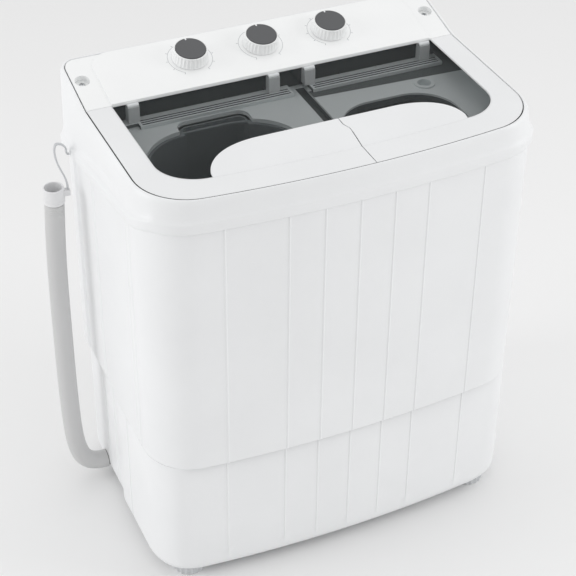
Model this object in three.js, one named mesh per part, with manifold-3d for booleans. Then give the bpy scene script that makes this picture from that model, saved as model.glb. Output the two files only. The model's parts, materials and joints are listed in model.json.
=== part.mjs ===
// Portable twin-tub mini washer: wash tub on the left, spin dryer on the right, free standing.
// Millimetres, +Z up, +Y to the back, origin on the floor below the middle of the machine.
import * as THREE from "three";
import { mergeVertices } from "three/addons/utils/BufferGeometryUtils.js";
import Module from "manifold-3d";

const wasm = await Module();
wasm.setup();

// ---------- driving dimensions ----------
const GAP = 0.3; // clearance between touching pieces
const WALL = 2.6; // moulded wall

// plan
const RIM_HALF = 295; // widest line of the top frame
const RIM_FRONT = -196;
const RIM_BACK = 196;
const LID_GAP_HALF = 281.4; // line between the top frame and the lids
const LID_GAP_FRONT = -186.2;
const LID_GAP_BACK = 187.6;
const CORNER_R = 76;
const BOW = 12.2; // the front swells this far in the middle
const BODY_HALF = 290.4;
const BODY_FRONT = -191.2;
const BODY_BACK = 191;
const BASE_HALF = 283.8;
const BASE_FRONT = -184.8;
const BASE_BACK = 186;
const REAR_R = 44;
const LIP_INSET = 6.4; // the base's upper lip stands inside the housing
const LIP_TOP = 246;

// heights
const FOOT_H = 14;
const BODY_BOTTOM = 227;
const BELT_BOTTOM = 629;
const RIDGE = 15; // ridge above the belt's bottom edge
const RIDGE_DROP = 51; // the ridge runs this much lower at the back
const LID_TOP = 676;
const DECK_Z = 640;
const TILT = THREE.MathUtils.degToRad(13.56); // control panel slope
const PANEL_FRONT = 84.9;
const PANEL_BACK = 186.4;

// front pleats
const PLEATS = [-190, -102, -51, 0, 51, 102, 190];
const PLEAT_W = 2.4;
const PLEAT_H = 1.1;

// lids
const LID_HALF = 280;
const LID_FRONT = -184.9;
const LID_REAR = 84;
const LID_SPLIT = 19;
const LID_SKIRT_Z = 664.5;
const LID_SKIN = 1.6;
const PANE_TOP = 674.1;
const PANE_T = 2.9;
const WINDOW_HALF = 245.2;
const WINDOW_FRONT = -142;
const ARCH_REAR = -80;
const ARCH_FLAT = 100;
const ARCH_END = 185;
const ARCH_RISE = 9.5;
const HINGE_Y = 80;
const HINGE_Z = 672.65;
const HINGE_PIN_R = 1.4;
const HINGE_X = { wash: [-216, -7], spin: [48, 232] };

// knobs
const KNOB_PITCH = 107.8;
const KNOB_Y = 142.2;
const KNOB_R = 26;
const KNOB_TOP_R = 23.4;
const KNOB_H = 16.5;

// tubs and drives
const WASH = { x: -126.5, y: -65, w: 223, d: 206, r: 80, top: 636.6, bottom: 148 };
const BAY = { x: -112.5, w: 105, back: 60, r: 16 }; // stepped bay at the wash tub's back
const SPIN = { x: 131.5, y: -82, w: 173, d: 180, r: 60 };
const SPIN_TUB_R = 97;
const SPIN_TUB_BOTTOM = 250;
const SPIN_TUB_TOP = 629.7;
const BASKET_R = 84;
const BASKET_BOTTOM = 275;
const BASKET_TOP = 596;
const PULSATOR_R = 88;
const WASH_PITCH_R = 54; // belt line on the large pulley, four times the small one
const MOTOR_PITCH_R = 13.5;
const PULLEY_RIM = 4; // rim above the belt line
const BELT_T = 3.4;
const BELT_Z = 64;
const WASH_MOTOR = { x: -112, y: 112 };
const MOTOR_R = 46;

// drain
const PORT_Y = 103;
const PORT_Z = 31;
const PORT_R = 13.4;
const HOSE_R = 14.2;
const VALVE = { x: -192, y: -2, low: 74, outletZ: 90, seatZ: 107, seatR: 7.5, boreR: 12 };

// ---------- materials ----------
const paint = (color, roughness, metalness = 0) => () =>
  new THREE.MeshStandardMaterial({ color, roughness, metalness });
const WHITE = paint(0xe8eaeb, 0.38);
const PANEL_WHITE = paint(0xf1f2f2, 0.34);
const LIGHT_GREY = paint(0xc9ccce, 0.45);
const DECK_GREY = paint(0x8d9396, 0.5);
const TUB_GREY = paint(0x6d7275, 0.45);
const DARK = paint(0x3a3d40, 0.5);
const BLACK = paint(0x1b1c1d, 0.7);
const HOSE_GREY = paint(0xbcbcbc, 0.6);
const STEEL = paint(0xb4b7ba, 0.3, 0.9);
const MOTOR_STEEL = paint(0x8f9498, 0.4, 0.8);
const ALLOY = paint(0xa6a9ad, 0.35, 0.9);
const paneMaterial = () =>
  new THREE.MeshStandardMaterial({
    color: 0x2b3338,
    roughness: 0.12,
    transparent: true,
    opacity: 0.4,
  });

// ---------- shape helpers ----------
const lerp = (a, b, t) => a + (b - a) * t;

/** One closed body as a boolean solid. */
function solid(geometry) {
  const plain = geometry.index ? geometry.toNonIndexed() : geometry;
  const only = new THREE.BufferGeometry().setAttribute("position", plain.getAttribute("position"));
  const merged = mergeVertices(only, 1e-4);
  return new wasm.Manifold(
    new wasm.Mesh({
      numProp: 3,
      vertProperties: new Float32Array(merged.attributes.position.array),
      triVerts: new Uint32Array(merged.index.array),
    }),
  );
}

function toGeometry(body) {
  const data = body.getMesh();
  const geometry = new THREE.BufferGeometry();
  const stride = data.numProp;
  const points = new Float32Array(data.numVert * 3);
  for (let i = 0; i < data.numVert; i++)
    for (let k = 0; k < 3; k++) points[i * 3 + k] = data.vertProperties[i * stride + k];
  geometry.setAttribute("position", new THREE.BufferAttribute(points, 3));
  geometry.setIndex(new THREE.BufferAttribute(new Uint32Array(data.triVerts), 1));
  const flat = geometry.toNonIndexed();
  flat.computeVertexNormals();
  return flat;
}

const join = (...bodies) => bodies.reduce((a, b) => a.add(b));
const cut = (body, ...tools) => tools.reduce((a, b) => a.subtract(b), body);
const keep = (body, tool) => body.intersect(tool);

/** A solid through a stack of outlines with equal point counts. A ring stack closes on itself. */
function loft(outlines, ringStack = false, flatten = (p) => new THREE.Vector2(p.x, p.y)) {
  const n = outlines[0].length;
  const positions = [];
  const face = (a, b, c) => positions.push(a.x, a.y, a.z, b.x, b.y, b.z, c.x, c.y, c.z);
  const spans = ringStack ? outlines.length : outlines.length - 1;
  for (let i = 0; i < spans; i++) {
    const low = outlines[i];
    const high = outlines[(i + 1) % outlines.length];
    for (let j = 0; j < n; j++) {
      const k = (j + 1) % n;
      face(low[j], low[k], high[k]);
      face(low[j], high[k], high[j]);
    }
  }
  if (!ringStack) {
    const cap = (outline, top) => {
      const flat = outline.map(flatten);
      for (const [a, b, c] of THREE.ShapeUtils.triangulateShape(flat, [])) {
        if (top) face(outline[a], outline[b], outline[c]);
        else face(outline[a], outline[c], outline[b]);
      }
    };
    cap(outlines[0], false);
    cap(outlines[outlines.length - 1], true);
  }
  const geometry = new THREE.BufferGeometry();
  geometry.setAttribute("position", new THREE.Float32BufferAttribute(positions, 3));
  return geometry;
}

const atHeight = (points, z) =>
  points.map(([x, y]) => new THREE.Vector3(x, y, typeof z === "function" ? z(x, y) : z));

/** An upright prism on a plan outline. */
function prism(points, z0, z1) {
  return solid(loft([atHeight(points, z0), atHeight(points, z1)]));
}

function box(x0, x1, y0, y1, z0, z1) {
  const g = new THREE.BoxGeometry(x1 - x0, y1 - y0, z1 - z0);
  return solid(g.translate((x0 + x1) / 2, (y0 + y1) / 2, (z0 + z1) / 2));
}

function circle(x, y, r, n = 24) {
  return Array.from({ length: n }, (_, i) => {
    const a = (2 * Math.PI * i) / n;
    return [x + r * Math.cos(a), y + r * Math.sin(a)];
  });
}

const post = (x, y, r, z0, z1, n = 24) => prism(circle(x, y, r, n), z0, z1);

/** A turned piece from [radius, height] pairs, upright at x, y. */
function turned(profile, x, y, n = 32) {
  const g = new THREE.LatheGeometry(
    profile.map(([r, z]) => new THREE.Vector2(r, z)),
    n,
  );
  return solid(g.rotateX(Math.PI / 2).translate(x, y, 0));
}

/** A round bar along X. */
function barX(x0, x1, y, z, r, n = 12) {
  const g = new THREE.CylinderGeometry(r, r, x1 - x0, n).rotateZ(Math.PI / 2);
  return solid(g.translate((x0 + x1) / 2, y, z));
}

/** Counter-clockwise rounded rectangle. */
function roundedRect(cx, cy, w, d, r, steps = 5) {
  const points = [];
  const corners = [
    [1, -1, -90],
    [1, 1, 0],
    [-1, 1, 90],
    [-1, -1, 180],
  ];
  for (const [sx, sy, start] of corners)
    for (let i = 0; i <= steps; i++) {
      const a = THREE.MathUtils.degToRad(start + (90 * i) / steps);
      points.push([
        cx + sx * (w / 2 - r) + r * Math.cos(a),
        cy + sy * (d / 2 - r) + r * Math.sin(a),
      ]);
    }
  return points;
}

/**
 * Plan of the machine, counter-clockwise from the front left: bowed front, straight sides and
 * back. ridges are upright pleats on the front, grooves are [y, half width, depth] on both sides,
 * and stations are plain extra points along the sides.
 */
function bodyPlan({
  half,
  front,
  back,
  rFront,
  rRear,
  bow = BOW,
  ridges = [],
  grooves = [],
  stations = [],
}) {
  const slope = Math.atan((2 * bow) / (half - rFront));
  const reach = half - rFront + rFront * Math.sin(slope);
  const frontAt = (x) => front + bow * (x / reach) ** 2;
  const cy = frontAt(reach) + rFront * Math.cos(slope);
  const points = [];
  if (ridges.length) {
    for (const x of ridges) {
      points.push([x - PLEAT_W, frontAt(x - PLEAT_W)]);
      points.push([x, frontAt(x) - PLEAT_H]);
      points.push([x + PLEAT_W, frontAt(x + PLEAT_W)]);
    }
  } else {
    for (const x of [-190, -127, -64, 0, 64, 127, 190]) points.push([x, frontAt(x)]);
  }
  const right = [];
  const arc = (x, y, r, from, to, steps) => {
    for (let i = 0; i <= steps; i++) {
      const a = lerp(from, to, i / steps);
      right.push([x + r * Math.cos(a), y + r * Math.sin(a)]);
    }
  };
  arc(half - rFront, cy, rFront, slope - Math.PI / 2, 0, 5);
  for (const [y, w, depth] of grooves) {
    right.push([half, y - w]);
    right.push([half - depth, y - w * 0.4]);
    right.push([half - depth, y + w * 0.4]);
    right.push([half, y + w]);
  }
  for (const y of stations) right.push([half, y]);
  arc(half - rRear, back - rRear, rRear, 0, Math.PI / 2, 4);
  const left = right.map(([x, y]) => [-x, y]).reverse();
  return [...points, ...right, ...left];
}

// ---------- housing ----------
const SIDE_GROOVES = [
  [-94, 4, 1.6],
  [50, 5, 3],
  [126, 8, 5],
];
const BASE_GROOVES = [
  [-36, 2.5, 2],
  [44, 3, 2.4],
  [85, 3, 2.4],
];

const ridgeDrop = (y) => (y < -150 ? 0 : RIDGE_DROP * ((y + 150) / 300) ** 0.75);

function housing() {
  const plan = (inset, frontInset, detailed) =>
    bodyPlan({
      half: BODY_HALF - inset,
      front: BODY_FRONT + frontInset,
      back: BODY_BACK - inset,
      rFront: 73.5 - inset,
      rRear: REAR_R - inset,
      ridges: detailed ? PLEATS : [],
      grooves: SIDE_GROOVES,
    });
  const top = (x, y) => BELT_BOTTOM + 8 - ridgeDrop(y);
  const outside = solid(
    loft([
      atHeight(plan(5.2, 1.2, true), BODY_BOTTOM),
      atHeight(plan(2, 0.4, true), BODY_BOTTOM + 6),
      atHeight(plan(0, 0, true), BODY_BOTTOM + 20),
      atHeight(plan(0, 0, true), top),
    ]),
  );
  const inside = solid(
    loft([
      atHeight(plan(6.6, 4.2, false), BODY_BOTTOM - 1),
      atHeight(plan(6.6, 4.2, false), BODY_BOTTOM + 4),
      atHeight(plan(WALL, WALL, false), BODY_BOTTOM + 22),
      atHeight(plan(WALL, WALL, false), BELT_BOTTOM + 20),
    ]),
  );
  return cut(outside, inside);
}

function baseSkirt() {
  const plan = (inset, detailed = true) =>
    bodyPlan({
      half: BASE_HALF - inset,
      front: BASE_FRONT + inset,
      back: BASE_BACK - inset,
      rFront: 66 - inset,
      rRear: REAR_R - inset,
      ridges: detailed ? PLEATS : [],
      grooves: detailed ? BASE_GROOVES : [],
    });
  const outside = solid(
    loft([
      atHeight(plan(8), FOOT_H),
      atHeight(plan(3), FOOT_H + 3),
      atHeight(plan(0), FOOT_H + 16),
      atHeight(plan(0), BODY_BOTTOM - GAP - 0.2),
    ]),
  );
  const lip = prism(plan(LIP_INSET, false), BODY_BOTTOM - 4, LIP_TOP);
  const inside = solid(
    loft([
      atHeight(plan(13, false), FOOT_H - 1),
      atHeight(plan(13, false), FOOT_H + 4),
      atHeight(plan(5.4, false), FOOT_H + 18),
      atHeight(plan(5.4, false), BODY_BOTTOM - 8),
      atHeight(plan(LIP_INSET + WALL, false), BODY_BOTTOM - 4),
      atHeight(plan(LIP_INSET + WALL, false), LIP_TOP + 1),
    ]),
  );
  const port = new THREE.CylinderGeometry(PORT_R, PORT_R, 40, 20).rotateZ(Math.PI / 2);
  const portHole = solid(port.translate(-BASE_HALF, PORT_Y, PORT_Z));
  const access = box(-160, 160, BASE_BACK - 20, BASE_BACK + 20, 50, 214);
  return cut(join(outside, lip), inside, portHole, access);
}

function basePan() {
  const plan = bodyPlan({
    half: BASE_HALF - 13 - GAP,
    front: BASE_FRONT + 13 + GAP,
    back: BASE_BACK - 13 - GAP,
    rFront: 52.7,
    rRear: 30.7,
  });
  const plate = prism(plan, FOOT_H + 0.2, FOOT_H + 4);
  const sockets = FEET.map(([x, y]) => post(x, y, 8.4, 0, 60, 16));
  const bosses = FEET.map(([x, y]) => post(x, y, 12, FOOT_H + 3, FOOT_H + 14, 16));
  return cut(join(plate, brakePost(), ...bosses), ...sockets);
}

const FEET = [
  [-238, -136],
  [238, -136],
  [-238, 138],
  [238, 138],
];

function foot([x, y]) {
  const flutes = (r, depth) =>
    Array.from({ length: 24 }, (_, i) => {
      const a = (2 * Math.PI * i) / 24;
      const rr = i % 2 ? r - depth : r;
      return [x + rr * Math.cos(a), y + rr * Math.sin(a)];
    });
  const pad = solid(
    loft([
      atHeight(flutes(23, 1.6), 0),
      atHeight(flutes(24.5, 1.8), 2),
      atHeight(flutes(24.5, 1.8), FOOT_H - GAP + 0.2),
    ]),
  );
  return join(pad, post(x, y, 8, FOOT_H - 2, FOOT_H + 16, 16));
}

function backCover() {
  const y = BASE_BACK;
  const plate = box(-156, 156, y - 2.4, y, 54, 210);
  const flange = box(-170, 170, y + GAP, y + 2.4, 40, 222);
  const louvres = [];
  for (let i = 0; i < 7; i++) {
    const z = 96 + i * 13;
    louvres.push(box(-110, 110, y - 6, y + 6, z, z + 4));
  }
  const holes = COVER_SCREWS.map(([x, z]) => screwHole(x, y, z));
  return cut(join(plate, flange, box(-150, 150, y - 1, y + 1, 60, 204)), ...louvres, ...holes);
}

const COVER_SCREWS = [
  [-164, 48],
  [164, 48],
  [-164, 214],
  [164, 214],
];

function screwHole(x, y, z) {
  const g = new THREE.CylinderGeometry(2.3, 2.3, 20, 8);
  return solid(g.translate(x, y, z));
}

function coverScrew([x, z]) {
  const head = new THREE.CylinderGeometry(4, 4, 2, 12).translate(x, BASE_BACK + 2.4 + GAP + 1, z);
  const shank = new THREE.CylinderGeometry(1.9, 1.9, 3, 8).translate(x, BASE_BACK + 1.9, z);
  const slotA = box(x - 2.6, x + 2.6, BASE_BACK + 3.9, BASE_BACK + 8, z - 0.5, z + 0.5);
  return cut(join(solid(head), solid(shank)), slotA);
}

// ---------- top frame ----------
const panelZ = (y) => LID_TOP + Math.max(0, y - 84.7) * Math.tan(TILT);
/** How deep the carrying scoop is at this distance along the side, 0 to 1. */
const scoop = (y) => (y > -95 && y < 100 ? Math.sin((Math.PI * (y + 95)) / 195) : 0);

function topFrame() {
  const plan = (half, scooped = 0) => {
    const t = (half - LID_GAP_HALF) / (RIM_HALF - LID_GAP_HALF);
    const points = bodyPlan({
      half,
      front: lerp(LID_GAP_FRONT, RIM_FRONT, t),
      back: lerp(LID_GAP_BACK, RIM_BACK, t),
      rFront: CORNER_R,
      rRear: lerp(17, 26, t),
      stations: [-84, -56, -24, 10, 44, 74, 84.8, 104, 130],
    });
    return points.map(([x, y]) => [x - Math.sign(x) * scooped * scoop(y), y]);
  };
  const belt = (lift) => (x, y) => BELT_BOTTOM + lift - ridgeDrop(y);
  const top = (below) => (x, y) => panelZ(y) - below;
  return solid(
    loft(
      [
        atHeight(plan(293.2), belt(0)),
        atHeight(plan(294.7), belt(7)),
        atHeight(plan(295), belt(RIDGE)),
        atHeight(plan(292.6, 2), belt(RIDGE + 4)),
        atHeight(plan(290.6, 5), (x, y) => belt(RIDGE + 8)(x, y) + 5 * scoop(y)),
        atHeight(plan(287.4), top(9)),
        atHeight(plan(285), top(2.8)),
        atHeight(plan(283), top(-0.2)),
        atHeight(plan(281.6), top(0.4)),
        atHeight(plan(281), top(6)),
        atHeight(plan(281), DECK_Z),
        atHeight(plan(287.2, 4.4), belt(RIDGE + 9)),
        atHeight(plan(290.9), belt(10)),
        atHeight(plan(290.9), belt(0)),
      ],
      true,
    ),
  );
}

// ---------- control panel ----------
/** Moves a geometry from the panel's own frame (u, v up the slope, w out of it) to the machine. */
function onPanel(geometry, x) {
  const z = panelZ(KNOB_Y);
  return geometry.rotateX(TILT).translate(x, KNOB_Y, z);
}

const FACE_RISE = 1.8; // the middle of the panel stands this proud of its wings
const SCREW_AT = { x: 266, y: 142 };

function panelPlan(half, front, back, r) {
  const points = [
    [-half, front],
    [half, front],
  ];
  for (const [sx, start] of [
    [1, 0],
    [-1, 90],
  ])
    for (let i = 0; i <= 4; i++) {
      const a = THREE.MathUtils.degToRad(start + 22.5 * i);
      points.push([sx * (half - r) + r * Math.cos(a), back - r + r * Math.sin(a)]);
    }
  return points;
}

function controlPanel() {
  const slab = (plan, low, high) =>
    solid(
      loft([
        atHeight(plan, (x, y) => panelZ(y) + low),
        atHeight(plan, (x, y) => panelZ(y) + high),
      ]),
    );
  const outer = panelPlan(280, PANEL_FRONT, PANEL_BACK, 16);
  const inner = panelPlan(277.4, PANEL_FRONT + 12, PANEL_BACK - 2.6, 13.4);
  const face = panelPlan(244, PANEL_FRONT, PANEL_BACK - 0.4, 28);
  const plate = slab(outer, -3, 0);
  const skirt = cut(
    slab(panelPlan(280, PANEL_FRONT + 30, PANEL_BACK, 16), -13, -2),
    slab(inner, -20, 2),
  );
  const raised = slab(face, -1, FACE_RISE);
  const shafts = KNOBS.map(({ x }) => {
    const g = new THREE.CylinderGeometry(4.2, 4.2, 30, 12).rotateX(Math.PI / 2);
    return solid(onPanel(g, x));
  });
  const wells = [-1, 1].map((s) => {
    const g = new THREE.CylinderGeometry(13, 13, 13, 20).rotateX(Math.PI / 2);
    g.rotateX(TILT).translate(s * SCREW_AT.x, SCREW_AT.y, panelZ(SCREW_AT.y) - 7.5);
    return solid(g);
  });
  const bores = [-1, 1].map((s) => {
    const g = new THREE.CylinderGeometry(10.6, 10.6, 10, 20).rotateX(Math.PI / 2);
    g.rotateX(TILT).translate(s * SCREW_AT.x, SCREW_AT.y, panelZ(SCREW_AT.y) - 4);
    return solid(g);
  });
  const screwHoles = [-1, 1].map((s) => {
    const g = new THREE.CylinderGeometry(2.4, 2.4, 40, 8).rotateX(Math.PI / 2);
    g.rotateX(TILT).translate(s * SCREW_AT.x, SCREW_AT.y, panelZ(SCREW_AT.y) - 8);
    return solid(g);
  });
  const walled = wells.map((w) => keep(w, box(-279.6, 279.6, 0, 300, 0, 900)));
  return cut(join(plate, skirt, raised, ...walled), ...shafts, ...bores, ...screwHoles);
}

function panelScrew(side) {
  const place = (g) =>
    solid(
      g
        .rotateX(Math.PI / 2)
        .rotateX(TILT)
        .translate(side * SCREW_AT.x, SCREW_AT.y, panelZ(SCREW_AT.y) - 9 + GAP),
    );
  const head = place(new THREE.CylinderGeometry(4.2, 4.6, 2.2, 14).translate(0, 1.1, 0));
  const shank = place(new THREE.CylinderGeometry(2, 2, 12, 8).translate(0, -5.5, 0));
  const slot = place(new THREE.BoxGeometry(6, 1.4, 1).translate(0, 2.2, 0));
  const cross = place(new THREE.BoxGeometry(1, 1.4, 6).translate(0, 2.2, 0));
  return cut(join(head, shank), slot, cross);
}

// ---------- knobs, spindles and timers ----------
const KNOBS = [
  { name: "wash_timer", x: -KNOB_PITCH, body: [52, 50, 22] },
  { name: "wash_selector", x: 0, body: [44, 40, 18] },
  { name: "spin_timer", x: KNOB_PITCH, body: [52, 50, 22] },
];
const SPINDLE_R = 3;
const KNOB_BASE = FACE_RISE + 0.5;

function knobBody(x) {
  const fluted = (r, depth) =>
    Array.from({ length: 32 }, (_, i) => {
      const a = (2 * Math.PI * i) / 32;
      const rr = i % 2 ? r - depth : r;
      return [rr * Math.cos(a), rr * Math.sin(a)];
    });
  const outer = loft([
    atHeight(fluted(KNOB_R, 0.1), KNOB_BASE),
    atHeight(fluted(KNOB_R - 0.3, 0.9), KNOB_BASE + 1.4),
    atHeight(fluted(KNOB_TOP_R + 0.5, 0.8), KNOB_BASE + KNOB_H - 2),
    atHeight(fluted(KNOB_TOP_R - 0.6, 0.1), KNOB_BASE + KNOB_H),
  ]);
  const seat = loft([
    atHeight(circle(0, 0, 22.1), KNOB_BASE + KNOB_H - 1.2),
    atHeight(circle(0, 0, 22.1), KNOB_BASE + KNOB_H + 2),
  ]);
  const hollow = loft([
    atHeight(circle(0, 0, 22.6, 18), KNOB_BASE - 1),
    atHeight(circle(0, 0, 20.4, 18), KNOB_BASE + KNOB_H - 4),
  ]);
  const hub = loft([
    atHeight(circle(0, 0, 7, 12), KNOB_BASE + 1),
    atHeight(circle(0, 0, 7, 12), KNOB_BASE + KNOB_H - 3),
  ]);
  const bore = loft([
    atHeight(circle(0, 0, SPINDLE_R + GAP, 12), KNOB_BASE - 2),
    atHeight(circle(0, 0, SPINDLE_R + GAP, 12), KNOB_BASE + KNOB_H - 4.4),
  ]);
  const put = (g) => solid(onPanel(g, x));
  return cut(join(cut(put(outer), put(hollow)), put(hub)), put(seat), put(bore));
}

function knobCap(x) {
  const z = KNOB_BASE + KNOB_H - 1.2 + GAP;
  const disc = loft([
    atHeight(circle(0, 0, 21.6), z),
    atHeight(circle(0, 0, 21.6), z + 1.3),
    atHeight(circle(0, 0, 20.6), z + 1.9),
  ]);
  const notch = new THREE.BoxGeometry(1.6, 4.4, 6).translate(0, 20.4, z);
  return cut(solid(onPanel(disc, x)), solid(onPanel(notch, x)));
}

function spindle(x) {
  const g = loft([
    atHeight(circle(0, 0, SPINDLE_R, 12), -12),
    atHeight(circle(0, 0, SPINDLE_R, 12), KNOB_BASE + KNOB_H - 5),
  ]);
  return solid(onPanel(g, x));
}

function timerBody({ x, body: [w, d, h] }) {
  const put = (g) => solid(onPanel(g, x));
  const low = -3 - GAP - h;
  const can = loft([
    atHeight(roundedRect(0, 0, w, d, 6, 2), low),
    atHeight(roundedRect(0, 0, w, d, 6, 2), -3.3 - 2),
  ]);
  const plate = new THREE.BoxGeometry(w + 12, d - 8, 2.2).translate(0, 0, -3 - GAP - 1.1);
  const terminals = [-1, 0, 1].map((i) =>
    put(new THREE.BoxGeometry(0.8, 6, 8).translate(i * 9, 4, low - 3.8)),
  );
  const bore = loft([
    atHeight(circle(0, 0, SPINDLE_R + GAP, 12), -12.4),
    atHeight(circle(0, 0, SPINDLE_R + GAP, 12), 2),
  ]);
  return cut(join(put(can), put(plate), ...terminals), put(bore));
}

// ---------- lids ----------
const foldAt = (x) => WINDOW_FRONT + 8 * (x / ARCH_END) ** 2;

function archRearAt(x) {
  const over = Math.max(0, Math.abs(x) - ARCH_FLAT) / (ARCH_END + 1 - ARCH_FLAT);
  return lerp(ARCH_REAR, foldAt(ARCH_END) - 1, 1 - Math.sqrt(1 - Math.min(1, over) ** 2));
}

/** The grip that swells up behind the front border of a lid. */
function arch(x0, x1) {
  const rows = 5;
  const stations = 13;
  const rings = [];
  for (let i = 0; i <= stations; i++) {
    const x = lerp(x0, x1, i / stations);
    const y0 = foldAt(x) - 2;
    const y1 = Math.max(archRearAt(x), y0 + 3);
    const top = [];
    for (let j = 0; j <= rows; j++) {
      const y = lerp(y0, y1, j / rows);
      const t = THREE.MathUtils.clamp((y - y0 - 2) / (ARCH_REAR - WINDOW_FRONT), 0, 1);
      top.push([y, LID_TOP + ARCH_RISE * Math.sin((t * Math.PI) / 2)]);
    }
    const under = top.map(([y, z]) => [y, z - LID_SKIN]);
    const loop = [...under, ...top.reverse()];
    rings.push(loop.map(([y, z]) => new THREE.Vector3(x, y, z)));
  }
  return solid(loft(rings, false, (p) => new THREE.Vector2(p.y, p.z)));
}

const lidPlan = (inset) =>
  bodyPlan({
    half: LID_HALF - inset,
    front: LID_FRONT + inset,
    back: 150,
    rFront: CORNER_R - 1 - inset,
    rRear: 20,
  });

/** The opening behind the front border, as a plan with wide front corners. */
function windowPlan(grow) {
  const half = WINDOW_HALF + grow;
  const points = [];
  for (let i = 0; i <= 8; i++) {
    const x = lerp(-ARCH_END, ARCH_END, i / 8);
    points.push([x, foldAt(x) - grow]);
  }
  const corner = [];
  for (let i = 1; i <= 6; i++) {
    const a = (Math.PI / 2) * (i / 6);
    const x = ARCH_END + (half - ARCH_END) * Math.sin(a);
    corner.push([x, lerp(foldAt(ARCH_END) - grow, -78, 1 - Math.cos(a))]);
  }
  const back = [
    [half, 200],
    [-half, 200],
  ];
  const left = corner.map(([x, y]) => [-x, y]).reverse();
  return [...points, ...corner, ...back, ...left];
}

function lidFrame(x0, x1, archFrom, archTo) {
  const bounds = box(x0, x1, -300, LID_REAR, 600, 720);
  const skin = prism(lidPlan(0), LID_TOP - LID_SKIN, LID_TOP);
  const rim = cut(
    prism(lidPlan(0), LID_SKIRT_Z, LID_TOP - 1),
    prism(lidPlan(2.4), LID_SKIRT_Z - 1, LID_TOP),
  );
  const relief = box(-300, 300, HINGE_Y, LID_REAR + 5, 600, LID_SKIRT_Z + 2.5);
  const frame = keep(cut(join(skin, rim), prism(windowPlan(0), 600, 720), relief), bounds);
  const chamfer = new THREE.BoxGeometry(700, 3, 3).rotateX(Math.PI / 4);
  chamfer.translate(0, LID_REAR + 0.6, LID_TOP + 0.6);
  return cut(join(frame, arch(archFrom, archTo)), solid(chamfer));
}

function lidPane(x0, x1, hinges) {
  const low = PANE_TOP - PANE_T;
  const bounds = box(x0, x1, -300, LID_REAR - 0.4, 600, 720);
  const plate = keep(prism(windowPlan(5), low, PANE_TOP), bounds);
  const notches = hinges.map((x) => box(x - 9, x + 9, HINGE_Y - 6, 120, low - 5, PANE_TOP + 5));
  const pins = hinges.map((x) => barX(x - 10, x + 10, HINGE_Y, HINGE_Z, HINGE_PIN_R));
  return join(cut(plate, ...notches), ...pins);
}

function hingeClip(x) {
  const block = box(x - 8, x + 8, HINGE_Y - 4.6, HINGE_Y + 8, SLOT_BAR_Z + GAP, HINGE_Z - 1);
  const eye = barX(x - 8, x + 8, HINGE_Y, HINGE_Z, 3.1, 16);
  const bore = barX(x - 12, x + 12, HINGE_Y, HINGE_Z, HINGE_PIN_R + GAP, 16);
  return cut(join(block, eye), bore);
}

// ---------- deck ----------
const SLOT_BAR_Z = 648;
const SLOT_BAR = { front: 62, back: 88 };
const GUTTER = { front: 90, back: 111, floor: 626 };
const TROUGH = { x0: 27, x1: 42, floor: 630 };

function deckPlan(inset) {
  return bodyPlan({
    half: 280.6 - inset,
    front: -185.4 + inset,
    back: 150,
    rFront: CORNER_R - 0.6 - inset,
    rRear: 20,
  });
}

function washOpening(grow, z0, z1) {
  const main = roundedRect(WASH.x, WASH.y, WASH.w + 2 * grow, WASH.d + 2 * grow, WASH.r + grow);
  const bayFront = WASH.y;
  const bay = roundedRect(
    BAY.x,
    (bayFront + BAY.back) / 2,
    BAY.w + 2 * grow,
    BAY.back - bayFront + 2 * grow,
    BAY.r + grow,
    3,
  );
  return join(prism(main, z0, z1), prism(bay, z0, z1));
}

function spinOpening(grow, z0, z1) {
  const plan = roundedRect(SPIN.x, SPIN.y, SPIN.w + 2 * grow, SPIN.d + 2 * grow, SPIN.r + grow, 6);
  return prism(plan, z0, z1);
}

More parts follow.
